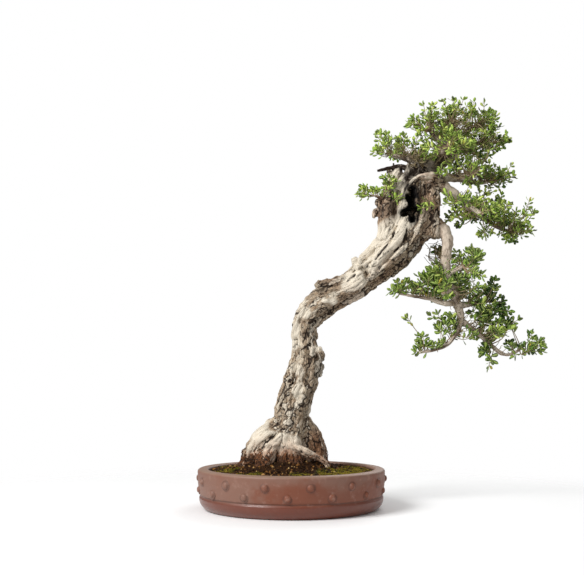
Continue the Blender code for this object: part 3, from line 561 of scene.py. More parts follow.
def store(mesh: Mesh, kind: str, column: Array) -> None:
    """Stores a number or a row of three for each vertex, under the name of its kind."""
    vector = column.ndim == 2
    attribute = mesh.attributes.new(kind, "FLOAT_VECTOR" if vector else "FLOAT", "POINT")
    attribute.data.foreach_set("vector" if vector else "value", column.astype(np.float32).ravel())


def show(mesh: Mesh, name: str, finish: Material, slot: Slot, *nodes: str) -> Object:
    """Puts a finished mesh in the scene as a piece of the bonsai.

    Args:
        mesh: The mesh, in place.
        name: The piece's name.
        finish: Its material.
        slot: The record's slot for it; not used.
        *nodes: CAD nodes that it stands for.

    Returns:
        The piece.
    """
    mesh.materials.clear()
    mesh.materials.append(finish)
    piece = bpy.data.objects.new(name, mesh)
    bpy.context.scene.collection.objects.link(piece)
    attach(piece, "root")
    if nodes:
        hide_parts(*nodes)
    LOG.info("%s: %d faces", name, len(mesh.polygons))
    return piece


def rounded(route: Route, steps: int) -> list[Vector]:
    """A route as a smooth curve through its own points.

    Args:
        route: Points of any number of values, such as x, y, z and radius.
        steps: Steps between two points of the route.

    Returns:
        The curve's points.
    """
    ends = [Vector(p) for p in route]
    knots = [2 * ends[0] - ends[1], *ends, 2 * ends[-1] - ends[-2]]
    found = []
    for a, b, c, d in zip(knots, knots[1:], knots[2:], knots[3:]):
        for step in range(steps):
            t = step / steps
            bend = (2 * a - 5 * b + 4 * c - d) * t * t + (3 * b - a - 3 * c + d) * t**3
            found.append(0.5 * (2 * b + (c - a) * t + bend))
    return [*found, ends[-1]]


def frames_along(points: list[Vector]) -> list[tuple[Vector, Vector, Vector]]:
    """The directions ahead, sideways and across at each point, carried along without twist.

    Args:
        points: Points of a curve.

    Returns:
        The three directions at each point.
    """
    ahead = [(b - a).normalized() for a, b in zip(points, points[1:])]
    ahead.append(ahead[-1])
    side = ahead[0].orthogonal().normalized()
    found = []
    for forward in ahead:
        side = (side - forward * side.dot(forward)).normalized()
        found.append((forward, side, forward.cross(side)))
    return found


def turns_of(count: int) -> Array:
    """Evenly spread turns round a ring, in radians."""
    return np.arange(count) * 2 * math.pi / count


def ring_faces(rings: int, sides: int) -> Faces:
    """The faces of a stack of rings that a middle point closes at each end.

    Args:
        rings: How many rings there are. Their points come ring after ring, and the two middles last.
        sides: Corners of each ring.

    Returns:
        The faces between the rings, at the first end and at the last end.
    """
    here = np.arange(sides)
    there = (here + 1) % sides
    starts = np.arange(rings - 1)[:, None] * sides
    quads = np.stack([starts + here, starts + there, starts + sides + there, starts + sides + here], -1)
    top, first = (rings - 1) * sides, rings * sides
    low = np.stack([np.full(sides, first), there, here], -1)
    high = np.stack([np.full(sides, first + 1), top + here, top + there], -1)
    return [quads.reshape(-1, 4), low, high]


def turned_over(faces: Faces) -> Faces:
    """The same faces, looking the other way."""
    return [np.roll(f[:, ::-1], 1, axis=1) for f in faces]


def tube(route: list[Vector], sides: int) -> Solid:
    """A closed tube along x, y, z and radius points.

    Args:
        route: The points.
        sides: Corners of each ring.

    Returns:
        Its points, ring after ring and then the middles of its two ends, and its faces.
    """
    centres = [p.to_3d() for p in route]
    turns = turns_of(sides)
    rows = []
    for point, centre, (_, side, across) in zip(route, centres, frames_along(centres)):
        ring = np.outer(np.cos(turns), side) + np.outer(np.sin(turns), across)
        rows.append(np.array(centre) + ring * point[3])
    return np.concatenate([*rows, [centres[0]], [centres[-1]]]), ring_faces(len(route), sides)


def arrays_of(bm: bmesh.types.BMesh) -> Solid:
    """A passing mesh's points and faces. The passing mesh goes.

    Args:
        bm: The passing mesh, of triangles and quads.

    Returns:
        Its points and faces.
    """
    bm.verts.index_update()
    points = np.array([v.co for v in bm.verts])
    rows = [[v.index for v in f.verts] for f in bm.faces]
    bm.free()
    return points, [np.array([r for r in rows if len(r) == size]) for size in (3, 4)]


def ball(centre: Row, half_sizes: Row, segments: int) -> Solid:
    """A closed ellipsoid.

    Args:
        centre: Its centre, in millimetres.
        half_sizes: Its half sizes, in millimetres.
        segments: Segments round it.

    Returns:
        Its points and faces.
    """
    bm = bmesh.new()
    bmesh.ops.create_uvsphere(bm, u_segments=segments, v_segments=segments // 2, radius=1)
    points, faces = arrays_of(bm)
    return points * np.array(half_sizes) + np.array(centre), faces


def mesh_of(bm: bmesh.types.BMesh, name: str) -> Mesh:
    """A passing mesh as a lasting one. The passing mesh goes."""
    mesh = bpy.data.meshes.new(name)
    bm.to_mesh(mesh)
    bm.free()
    return mesh


def baked(obj: Object) -> Mesh:
    """The mesh that an object's modifiers make. The object goes."""
    bpy.context.view_layer.update()
    graph = bpy.context.evaluated_depsgraph_get()
    mesh = bpy.data.meshes.new_from_object(obj.evaluated_get(graph))
    bpy.data.objects.remove(obj)
    return mesh


def helper(mesh: Mesh, name: str) -> Object:
    """A passing object that holds a mesh while modifiers work on it."""
    obj = bpy.data.objects.new(name, mesh)
    bpy.context.scene.collection.objects.link(obj)
    return obj


def carved(body: Object, cutters: list[Object], solver: str) -> Mesh:
    """A body's mesh with the cutters' shapes taken out. The body and the cutters go.

    Args:
        body: What is cut.
        cutters: What is taken out of it.
        solver: How the cut is worked out.

    Returns:
        The mesh.
    """
    for cutter in cutters:
        cut = body.modifiers.new("cut", "BOOLEAN")
        cut.operation = "DIFFERENCE"
        cut.solver = solver
        cut.object = cutter
    mesh = baked(body)
    for cutter in cutters:
        bpy.data.objects.remove(cutter)
    return mesh


def reskinned(mesh: Mesh, voxel: float, smoothing: int = 0) -> Mesh:
    """Overlapping shells as one even skin.

    Args:
        mesh: The shells.
        voxel: The skin's detail, in millimetres.
        smoothing: Rounds of smoothing after it.

    Returns:
        The skin.
    """
    obj = helper(mesh, "skin_helper")
    skin = obj.modifiers.new("skin", "REMESH")
    skin.mode = "VOXEL"
    skin.voxel_size = voxel * MM
    if smoothing:
        ease = obj.modifiers.new("ease", "SMOOTH")
        ease.iterations = smoothing
    return baked(obj)


def largest_shell(mesh: Mesh) -> Mesh:
    """The mesh without the small loose bits that a remesh leaves round thin points.

    Args:
        mesh: The mesh, which is changed.

    Returns:
        The same mesh.
    """
    ends = np.empty(2 * len(mesh.edges), dtype=np.int32)
    mesh.edges.foreach_get("vertices", ends)
    first, second = ends.reshape(-1, 2).T
    shell = np.arange(len(mesh.vertices))
    while True:
        low = np.minimum(shell[first], shell[second])
        joined = shell.copy()
        np.minimum.at(joined, first, low)
        np.minimum.at(joined, second, low)
        np.minimum.at(joined, shell, joined)
        joined = joined[joined]
        if np.array_equal(joined, shell):
            break
        shell = joined
    keep = np.bincount(shell).argmax()
    bm = bmesh.new()
    bm.from_mesh(mesh)
    bm.verts.ensure_lookup_table()
    loose = [bm.verts[i] for i in np.nonzero(shell != keep)[0]]
    bmesh.ops.delete(bm, geom=loose, context="VERTS")
    bm.to_mesh(mesh)
    bm.free()
    return mesh


def thinned(mesh: Mesh, most_triangles: int) -> Mesh:
    """A mesh with fewer triangles, which keeps its relief.

    Args:
        mesh: The mesh.
        most_triangles: How many triangles it may have.

    Returns:
        The new mesh.
    """
    mesh.calc_loop_triangles()
    obj = helper(mesh, "thinned_helper")
    fewer = obj.modifiers.new("fewer", "DECIMATE")
    fewer.ratio = min(1.0, most_triangles / len(mesh.loop_triangles))
    return baked(obj)


def corners_of(mesh: Mesh, what: str = "co") -> Array:
    """Every vertex's place, or its normal, as rows."""
    flat = np.zeros(len(mesh.vertices) * 3, np.float32)
    mesh.vertices.foreach_get(what, flat)
    return flat.reshape(-1, 3).astype(float)


def move_corners(mesh: Mesh, places: Array) -> None:
    """Moves every vertex to its own row of places, in metres."""
    mesh.vertices.foreach_set("co", places.astype(np.float32).ravel())
    mesh.update()


# Routes and places of this tree

# Each point of a route is x, y, z and radius.
TRUNK: Route = (
    (-2, 0, 56, 40), (-2, 0, 88, 38), (-2, 0, 114, 35), (-1, 1, 139, 31.5), (3, 3, 165, 31),
    (10, 5, 191, 31), (20, 7, 220, 31), (24, 9, 248, 28), (24, 11, 273, 26), (22, 12, 298, 24.5),
    (28, 10, 322, 27), (45, 6, 345, 28.5), (72, 2, 362, 27.5), (102, -1, 378, 25.5), (130, -3, 401, 29),
    (158, -4, 425, 34.5), (187, -4, 454, 39), (203, -3, 486, 44), (208, 0, 521, 46), (212, 2, 548, 42),
    (216, 4, 568, 30),
)
ROOTS: dict[str, Route] = {
    "surface_right": (
        (-12, -20, 115, 9), (8, -31, 104, 7.4), (27, -35, 94, 5.8), (44, -34, 87, 4.8), (56, -32, 80, 4),
        (64, -31, 68, 3.4),
    ),
    "left": ((-9, 0, 139, 24), (-38, -6, 121, 23), (-60, -8, 99, 19), (-71, -8, 76, 15), (-74, -8, 57, 13)),
    "right": ((15, 4, 141, 22), (34, 6, 117, 19), (43, 6, 96, 17), (46, 6, 70, 15), (46, 6, 57, 14)),
    "front_left": ((-16, -10, 124, 20), (-34, -22, 103, 16), (-45, -32, 79, 13), (-48, -35, 57, 11)),
    "back": ((1, 12, 130, 24), (-1, 30, 107, 19), (-2, 42, 78, 15), (-2, 44, 57, 13)),
    "back_left": ((-18, 10, 129, 20), (-42, 22, 100, 16), (-57, 31, 74, 13), (-60, 33, 57, 11)),
    "back_right": ((15, 12, 130, 19), (32, 26, 102, 15), (42, 34, 75, 12), (43, 36, 57, 11)),
}
HEAD_PIECES: dict[str, Route] = {
    "dead_column": (
        (160, -12, 440, 18), (172, -16, 470, 20), (171, -17, 500, 17), (172, -17, 525, 16.5),
        (176, -14, 551, 15), (181, -10, 571, 13), (190, -6, 586, 9),
    ),
    "living_side": ((236, -8, 470, 25), (241, -12, 506, 22), (240, -12, 537, 22), (238, -10, 560, 18)),
    "arch": (
        (206, -34, 548, 4), (213, -41, 559, 5), (227, -43, 568, 5.4), (246, -38, 570, 6),
        (264, -26, 564, 7.5),
    ),
    "jag": ((168, -20, 540, 7), (174, -26, 560, 6.6), (184, -27, 576, 5.4), (190, -24, 590, 3.6)),
    "jag_right": ((188, -28, 548, 6), (194, -32, 562, 5.4), (201, -28, 576, 4.4), (206, -22, 588, 3)),
    "bend_ridge": (
        (44, -10, 378, 7), (60, -12, 384, 8), (78, -12, 390, 8.5), (94, -10, 394, 8), (110, -12, 400, 8),
    ),
}
# Knotty lumps: x, y, z and size.
BURLS: Route = (
    (50, -12, 381, 10), (61, -12, 384, 9), (48, 0, 228, 8), (49, 2, 256, 11), (48, -3, 241, 9),
    (40, 0, 244, 13), (40, 0, 262, 12), (49, -6, 268, 7), (113, -14, 423, 8), (115, -18, 413, 7),
    (154, -20, 527, 8), (150, -16, 508, 7), (150, 22, 425, 15), (38, 28, 300, 12), (226, 34, 500, 16),
    (-4, 24, 196, 11), (248, -22, 520, 9),
)
# Jagged ends of deadwood, most of them round the head: root, tip and thickness.
SPLINTERS: tuple[tuple[Row, Row, float], ...] = (
    ((178, -14, 566), (168, -17, 597), 5), ((186, -16, 572), (180, -20, 606), 5),
    ((194, -14, 574), (197, -18, 603), 5), ((202, -16, 566), (207, -22, 600), 5),
    ((172, -10, 556), (160, -10, 580), 4.5), ((184, -4, 570), (176, 0, 600), 5),
    ((206, -6, 572), (214, -8, 604), 5), ((198, 6, 572), (194, 14, 600), 5),
    ((222, -14, 572), (232, -20, 600), 5), ((168, -20, 520), (160, -26, 546), 4.5),
    ((160, -18, 500), (153, -22, 524), 4), ((214, -30, 540), (206, -38, 566), 4.5),
    ((150, -20, 430), (146, -25, 446), 5), ((124, -22, 410), (118, -28, 428), 5),
    ((112, -14, 416), (104, -18, 430), 5), ((240, 20, 540), (248, 34, 568), 6),
    ((216, 30, 550), (214, 40, 580), 5),
)
# The lobes of the open hollow in the head: centre and half sizes.
HOLLOWS: tuple[tuple[Row, Row], ...] = (
    ((208, -36, 546), (8, 22, 9)), ((207, -34, 530), (13, 32, 14)), ((208, -36, 511), (15, 30, 13)),
    ((196, -36, 504), (8, 22, 10)), ((210, -38, 494), (8, 20, 9)),
)
# Cracks: width, depth (below 0 for a raised cord), then the points that each runs through.
CRACKS: tuple[tuple[float, float, Route], ...] = (
    (4.2, 11.0, ((8, -30, 256), (8, -30, 245), (6, -30, 232), (2, -30, 215), (0, -30, 196), (0, -32, 178))),
    (4.6, 9.0, ((26, -24, 224), (30, -28, 205), (33, -28, 186), (32, -30, 168), (26, -30, 150))),
    (4.4, 11.0, ((8, -20, 296), (7, -20, 286), (7, -20, 276))),
    (5.0, 12.0, ((124, -30, 409), (129, -30, 400), (131, -30, 393))),
    (3.6, 7.0, ((24, -20, 352), (40, -26, 360), (62, -28, 370), (82, -28, 362), (98, -26, 350))),
    (3.4, 8.0, ((199, -40, 478), (193, -38, 452), (174, -36, 434), (160, -36, 419), (146, -34, 404))),
    (3.6, 8.0, ((157, -34, 458), (142, -34, 434), (133, -32, 416), (129, -30, 402))),
    (3.2, 6.0, ((182, -36, 480), (172, -36, 458), (158, -36, 440), (146, -34, 424))),
    (3.2, 6.0, ((110, -26, 398), (96, -28, 384), (78, -28, 376))),
    (3.4, 7.0, ((36, -28, 340), (30, -26, 322), (20, -24, 306))),
    (3.2, 6.0, ((12, -24, 330), (20, -28, 318), (26, -28, 300), (30, -26, 284), (26, -28, 266))),
    (3.0, 6.0, ((-18, -24, 220), (-14, -26, 200), (-16, -28, 178), (-18, -28, 158))),
    (3.2, 6.0, ((16, -32, 244), (18, -32, 222), (17, -34, 200), (14, -34, 178), (12, -34, 158))),
    (3.4, 7.0, ((-14, -34, 134), (-34, -30, 118), (-54, -28, 98))),
    (3.4, 6.0, ((12, -36, 134), (18, -34, 118), (34, -30, 104))),
    (3.0, 6.0, ((40, -16, 140), (52, -20, 122), (58, -22, 104), (60, -22, 90))),
    (5.0, 7.0, ((20, 38, 130), (26, 38, 170), (34, 38, 215), (34, 36, 260), (30, 34, 300))),
    (5.0, 7.0, ((70, 28, 372), (110, 26, 398), (150, 34, 440), (196, 42, 500))),
    (4.5, 6.0, ((-22, 24, 140), (-16, 32, 180), (-6, 34, 220), (2, 34, 262))),
    (
        2.8, -3.6,
        ((14, -30, 250), (14, -34, 232), (10, -34, 212), (7, -35, 192), (5, -36, 172), (4, -36, 150)),
    ),
    (
        4.2, -4.0,
        ((17, -16, 352), (6, -20, 330), (-2, -20, 308), (0, -20, 288), (6, -22, 270), (16, -26, 258)),
    ),
    (3.6, -3.6, ((84, -26, 344), (70, -30, 352), (52, -30, 352), (40, -30, 340))),
    (
        2.6, -1.6,
        (
            (176, -42, 472), (160, -40, 450), (146, -38, 428), (138, -36, 410), (120, -34, 392),
            (100, -32, 376),
        ),
    ),
    (2.4, 6.0, ((186, -42, 488), (172, -42, 470), (160, -40, 452), (150, -38, 436))),
    (2.4, 6.0, ((170, -38, 486), (158, -38, 470), (148, -36, 452), (140, -36, 438), (128, -32, 424))),
    (2.6, 6.0, ((212, -42, 470), (204, -42, 452), (190, -42, 436), (176, -40, 420), (158, -38, 402))),
    (2.4, 5.0, ((222, -40, 462), (210, -42, 440), (192, -40, 420))),
    (2.4, 5.0, ((126, -32, 388), (110, -30, 374), (92, -28, 364))),
    (2.6, 6.0, ((-8, -34, 150), (-22, -36, 130), (-40, -32, 112))),
    (2.4, 5.0, ((-2, -38, 144), (-6, -40, 126), (-14, -40, 112))),
    (3.4, -4.4, ((-40, -34, 107), (-24, -38, 109), (-4, -40, 106), (14, -38, 100))),
    (2.8, 6.0, ((176, -38, 560), (182, -36, 570), (186, -34, 580))),
    (2.8, 5.0, ((168, -30, 548), (170, -32, 560))),
    (3.0, -3.0, ((184, -33, 536), (181, -32, 548), (178, -28, 562))),
)
LIMBS: dict[str, Route] = {
    "dead_stub": (
        (226, -8, 570, 8), (213, -14, 586, 6.4), (192, -18, 592, 4), (171, -20, 589, 3),
        (152, -22, 584, 1.8),
    ),
    "lower": (
        (238, -18, 556, 8.5), (263, -22, 557, 10.6), (285, -18, 542, 9.6), (307, -12, 526, 6.4),
        (330, -6, 511, 4.6), (354, -1, 494, 3.6), (374, 2, 484, 2.8), (388, 3, 481, 2),
    ),
    "mid": (
        (238, 0, 560, 11), (276, 6, 577, 8.4), (300, 10, 578, 6.4), (322, 12, 573, 4.8),
        (340, 12, 571, 3.4), (352, 12, 572, 2.6),
    ),
    "upper_right": (
        (236, 4, 568, 12), (252, 4, 588, 10), (274, 9, 606, 7.6), (294, 13, 619, 5.6), (313, 16, 634, 4.2),
        (331, 17, 644, 3), (345, 17, 647, 2),
    ),
    "leader": (
        (224, 2, 552, 20), (237, 2, 573, 17), (248, 0, 598, 13.5), (265, 0, 614, 10.2), (281, 0, 627, 7),
        (293, 0, 639, 5.4), (294, -2, 652, 3.8), (289, -3, 664, 2.8), (286, -4, 672, 2.2),
    ),
    "leader_left": (
        (292, 0, 636, 5.4), (276, -4, 638, 4.2), (264, -8, 645, 3.4), (254, -10, 652, 2.6),
        (244, -13, 659, 1.9),
    ),
    "leader_right": ((292, 0, 640, 5.6), (306, 4, 655, 4.2), (319, 7, 665, 3.2), (329, 9, 672, 2.5)),
    "upper_left": (
        (238, -2, 574, 13), (223, -7, 600, 7.6), (206, -10, 609, 5.4), (191, -12, 612, 4),
        (176, -14, 615, 2.8),
    ),
    "left_pad": ((172, -16, 524, 9), (163, -22, 531, 5), (153, -27, 535, 3.2), (148, -29, 537, 2.6)),
    "cascade": (
        (228, -4, 480, 20), (251, -12, 489, 13.5), (266, -16, 479, 11.5), (273, -18, 460, 10.2),
        (271, -18, 436, 9.2), (270, -15, 411, 8.4), (278, -8, 382, 8), (290, -2, 354, 7.8),
        (297, 0, 330, 6.6), (294, -2, 309, 4.6), (282, -5, 289, 3.6), (268, -8, 276, 3),
        (244, -9, 268, 2.4), (222, -9, 265, 1.8),
    ),
    "cascade_left": (
        (288, -2, 352, 6), (265, -8, 351, 4.2), (240, -12, 358, 3.2), (214, -14, 362, 2.4),
        (188, -14, 367, 1.6),
    ),
    "cascade_right": (
        (297, 0, 322, 5.4), (318, 7, 307, 4.4), (336, 10, 293, 4), (354, 11, 276, 3.6), (369, 10, 264, 3.2),
        (384, 9, 262, 2.6), (402, 10, 270, 1.8),
    ),
    "cascade_upper_right": (
        (292, 0, 346, 6.2), (315, 12, 351, 4.6), (330, 17, 352, 3.4), (341, 20, 350, 2.6),
    ),
    "cascade_shoulder": ((271, -14, 402, 6), (287, -19, 408, 3.8), (297, -23, 414, 2.6)),
    "cascade_back": ((279, -4, 378, 6.4), (291, 24, 371, 4.6), (301, 44, 369, 2.8)),
    "cascade_front": ((281, -8, 374, 6), (267, -33, 368, 4.2), (257, -50, 364, 2.8)),
    "leader_front": ((266, -2, 614, 8), (271, -28, 618, 5.2), (272, -48, 623, 2.8)),
    "leader_back": ((274, 2, 620, 8), (288, 32, 640, 5.2), (296, 52, 656, 2.8)),
    "upper_right_back": ((312, 16, 633, 5.6), (326, 38, 637, 4.2), (338, 56, 640, 2.6)),
    "mid_front": ((300, 10, 578, 6), (309, -16, 575, 4.2), (317, -37, 571, 2.6)),
    "lower_front": ((308, -12, 525, 6.6), (319, -34, 511, 4.6), (326, -52, 500, 2.6)),
    "lower_back": ((318, -8, 519, 6), (340, 20, 525, 4.4), (356, 40, 530, 2.6)),
    "upper_left_back": ((216, -8, 605, 7.4), (210, 18, 624, 4.8), (204, 38, 637, 2.6)),
}
# Leafy sprays: limb, share of the way along it, direction, length. A share of 1 is the limb's tip.
SPRAYS: tuple[tuple[str, float, Row, float], ...] = (
    ("leader", 1.0, (0.05, 0.0, 1.0), 34), ("leader_left", 1.0, (-0.9, -0.1, 0.35), 32),
    ("leader_left", 0.55, (-0.1, 0.25, 1.0), 48), ("leader_right", 1.0, (0.8, 0.1, 0.3), 34),
    ("leader_right", 0.6, (0.3, -0.6, 0.8), 36), ("leader_front", 1.0, (0.1, -1.0, 0.25), 38),
    ("leader_back", 1.0, (0.2, 0.9, 0.4), 36), ("upper_left", 1.0, (-1.0, -0.1, 0.1), 28),
    ("upper_left", 0.72, (-0.15, -0.4, 1.0), 34), ("upper_left_back", 1.0, (-0.4, 0.8, 0.2), 36),
    ("upper_right", 1.0, (1.0, -0.1, 0.0), 36), ("upper_right", 0.62, (0.2, -0.6, 0.8), 38),
    ("upper_right_back", 1.0, (0.6, 0.8, 0.1), 36), ("mid", 1.0, (1.0, -0.2, 0.2), 34),
    ("mid", 0.55, (0.1, 0.6, 0.8), 36), ("mid_front", 1.0, (0.4, -0.9, 0.0), 34),
    ("lower", 0.34, (-0.3, -0.8, -0.5), 44), ("lower", 0.62, (0.2, -0.2, 0.9), 36),
    ("lower", 0.84, (0.5, 0.2, 0.9), 44), ("lower", 1.0, (1.0, 0.0, -0.1), 36),
    ("lower_front", 1.0, (0.3, -1.0, 0.1), 34), ("lower_back", 1.0, (0.7, 0.7, 0.1), 34),
    ("left_pad", 1.0, (-1.0, -0.2, 0.15), 28), ("left_pad", 0.45, (-0.2, -0.6, 0.8), 28),
    ("cascade_shoulder", 1.0, (0.6, -0.3, 0.9), 34), ("cascade", 0.5, (-0.8, -0.5, 0.6), 42),
    ("cascade_left", 1.0, (-1.0, -0.1, 0.1), 28), ("cascade_left", 0.55, (-0.2, 0.3, 0.9), 44),
    ("cascade_front", 1.0, (-0.2, -1.0, 0.2), 32), ("cascade_back", 1.0, (0.4, 0.9, 0.2), 34),
    ("cascade_upper_right", 1.0, (0.9, -0.2, -0.1), 34), ("cascade_right", 0.45, (0.3, 0.2, 0.9), 44),
    ("cascade_right", 0.72, (-0.2, -0.6, -0.7), 28), ("cascade_right", 1.0, (1.0, -0.1, 0.3), 40),
    ("cascade", 1.0, (-1.0, -0.1, 0.1), 28), ("cascade", 0.92, (-0.5, 0.1, 0.8), 52),
)
STRAND_TURN = math.radians(95)  # how far the strands wind round the trunk in all
STRAND_TWIST = STRAND_TURN / 640.0  # the grain's turn for each millimetre up the trunk
LIMB_TWIST = 0.004  # and along a root or a limb
# Where bark is left (above 0) and where it is gone (below 0): x, y, z, reach and strength.
BARK_ZONES: Route = (
    (60, -6, 334, 30, 0.5), (108, -6, 350, 34, 0.6), (160, -8, 386, 38, 0.65), (208, -12, 422, 44, 0.65),
    (240, -16, 478, 42, 0.9), (246, -16, 530, 44, 0.9), (165, -20, 515, 34, 0.8), (-20, -12, 205, 30, 0.6),
    (-16, -14, 170, 30, 0.6), (36, -16, 170, 30, 0.6), (34, -20, 300, 28, 0.5), (24, -24, 284, 22, 0.4),
    (46, -14, 196, 26, 0.6), (50, -14, 118, 34, 0.7), (50, -14, 244, 26, 0.6), (30, -12, 378, 30, 0.5),
    (70, -8, 394, 26, 0.8), (-10, -30, 142, 24, 0.4), (-34, -22, 132, 20, 0.3), (-70, -8, 84, 20, 0.3),
    (200, 40, 450, 60, 0.4), (30, 36, 240, 50, 0.4), (-44, -30, 106, 34, -0.9), (30, -38, 97, 20, -0.6),
    (70, -34, 84, 22, -0.6), (96, -26, 392, 30, -0.5), (130, -30, 424, 32, -0.8), (160, -34, 462, 32, -0.8),
    (188, -40, 484, 24, -0.6), (225, -28, 568, 20, -0.4), (180, -28, 566, 20, -0.4),
    (232, -46, 567, 18, -0.4), (272, -18, 440, 46, -0.9), (266, -16, 480, 22, -0.6),
    (278, -20, 548, 17, -1.3), (298, -14, 534, 15, -1.0),
)
# Where the wood is painted dark, mostly as painted shadow in the head and under the limbs and in places as
# darker wood: x, y, z, reach and strength.
SHADE_ZONES: Route = (
    (204, -34, 558, 12, 0.7), (232, -26, 584, 20, 0.9), (204, -30, 572, 12, 0.9), (222, -24, 588, 18, 0.9),
    (152, -24, 586, 18, 1.2), (168, -20, 590, 10, 1.3), (182, -19, 592, 10, 1.3), (196, -17, 592, 12, 1.3),
    (222, -40, 540, 16, 0.7), (230, -40, 512, 12, 0.4), (60, -16, 112, 20, 0.7), (66, -14, 92, 16, 0.6),
    (252, -10, 462, 14, 0.4), (168, -26, 506, 20, 0.55), (180, -30, 520, 14, 0.5), (258, 0, 600, 30, 0.6),
    (50, 0, 245, 22, 0.5), (24, -26, 296, 16, 0.5), (36, -24, 190, 16, 0.4), (188, -30, 500, 12, 0.4),
    (52, -14, 380, 16, 0.3),
)
# Where the wood is stained orange: x, y, z, reach and strength.
RUST_ZONES: Route = (
    (54, -16, 104, 34, 0.85), (-46, -36, 90, 32, 0.6), (0, -38, 90, 30, 0.55), (236, -42, 568, 20, 0.5),
    (160, -20, 512, 28, 0.5), (60, -30, 86, 22, 0.6), (240, -20, 520, 34, 0.45), (-66, -22, 74, 22, 0.95),
    (-38, -38, 76, 22, 0.95), (-4, -36, 78, 22, 0.9), (26, -30, 80, 20, 0.8), (-74, 8, 74, 24, 0.9),
    (0, 44, 76, 28, 0.9), (-48, 36, 76, 26, 0.9), (46, 30, 84, 28, 0.8), (176, -16, 392, 40, 0.35),
    (110, -10, 350, 34, 0.3), (240, -10, 470, 30, 0.3), (70, -10, 392, 20, 0.3),
)
# Leafy pads: centre x, y, z and half sizes x, y, z of each clump.
PADS: dict[str, Route] = {
    "crown": (
        (244, -5, 697, 15, 28, 12), (221, 0, 675, 15, 24, 10), (279, 0, 699, 22, 44, 12),
        (307, 5, 700, 22, 48, 12), (338, 5, 695, 23, 46, 16), (362, 8, 683, 20, 36, 20),
        (250, -10, 680, 18, 44, 12), (292, 30, 676, 40, 34, 16), (352, 10, 660, 22, 44, 16),
        (386, 8, 648, 14, 26, 10), (356, 6, 629, 25, 40, 13), (312, 8, 630, 20, 48, 12),
        (300, 34, 646, 36, 30, 16), (268, -34, 655, 16, 14, 10), (330, -36, 648, 16, 16, 10),
        (286, -46, 640, 16, 12, 9),
    ),
    "left_shoulder": (
        (229, -12, 642, 21, 30, 16), (166, -8, 643, 20, 22, 16), (153, -6, 625, 16, 20, 11),
        (190, -10, 628, 18, 24, 16),
    ),
    "head": (
        (246, -26, 622, 21, 22, 16), (292, -34, 596, 22, 16, 13), (262, -42, 580, 14, 10, 9),
        (318, -20, 566, 18, 18, 10), (236, 22, 620, 24, 26, 18), (300, -34, 622, 28, 22, 16),
        (136, -24, 546, 21, 16, 9), (164, -24, 543, 21, 18, 12), (188, -38, 530, 11, 8, 9),
    ),
    "right_middle": ((335, 6, 588, 43, 36, 16), (375, 6, 588, 27, 26, 14)),
    "right_low": (
        (303, -6, 534, 23, 30, 14), (298, -8, 509, 25, 34, 16), (338, -6, 515, 28, 40, 19),
        (375, 0, 507, 28, 40, 20), (407, 2, 491, 25, 32, 20), (384, 0, 471, 25, 24, 12),
        (344, -6, 477, 14, 18, 11), (316, -28, 522, 22, 12, 12), (348, -24, 502, 22, 12, 12),
    ),
    "cascade_top": (
        (263, 22, 446, 14, 16, 14), (297, -4, 431, 16, 26, 14), (320, 2, 435, 14, 22, 11),
        (279, -8, 405, 28, 40, 18), (311, -2, 392, 28, 40, 21), (243, -10, 393, 25, 30, 14),
        (211, -12, 380, 23, 20, 10), (186, -12, 371, 16, 10, 5), (260, -8, 373, 35, 36, 14),
        (329, 4, 366, 25, 36, 18), (353, 6, 377, 12, 16, 14),
    ),
    "cascade_low": (
        (341, 6, 336, 26, 34, 19), (368, 8, 326, 25, 30, 18), (362, 8, 297, 25, 26, 16),
        (386, 10, 278, 20, 22, 12), (341, 4, 276, 9, 12, 12), (238, -8, 274, 26, 10, 6),
        (262, -6, 283, 12, 10, 8), (283, -2, 318, 9, 8, 9), (313, 0, 297, 14, 20, 11),
    ),
}
# How full of leaves a pad is, where it isn't as full as the rest of its part of the crown.
PAD_FULLNESS = {"left_shoulder": 0.8, "right_low": 1.45}
# Bare crooked twigs inside the crown: centre and half sizes of each tangle, and how many it has.
TANGLES: tuple[tuple[Row, Row, int], ...] = (
    ((272, -22, 664), (36, 18, 13), 60), ((318, -22, 658), (32, 20, 15), 60),
    ((340, -24, 634), (26, 18, 12), 30), ((204, -20, 616), (42, 16, 11), 60),
    ((236, -26, 602), (26, 18, 14), 46), ((300, -24, 606), (34, 18, 14), 36),
    ((330, -18, 582), (38, 18, 9), 30), ((352, -10, 502), (40, 22, 12), 34),
    ((400, -6, 484), (22, 14, 9), 30), ((300, -14, 536), (24, 14, 12), 20),
    ((286, -8, 372), (40, 22, 12), 36), ((330, 4, 312), (34, 20, 16), 40),
    ((292, -4, 334), (12, 10, 16), 20), ((300, 30, 650), (44, 24, 24), 60),
    ((250, 16, 450), (16, 16, 16), 26),
)
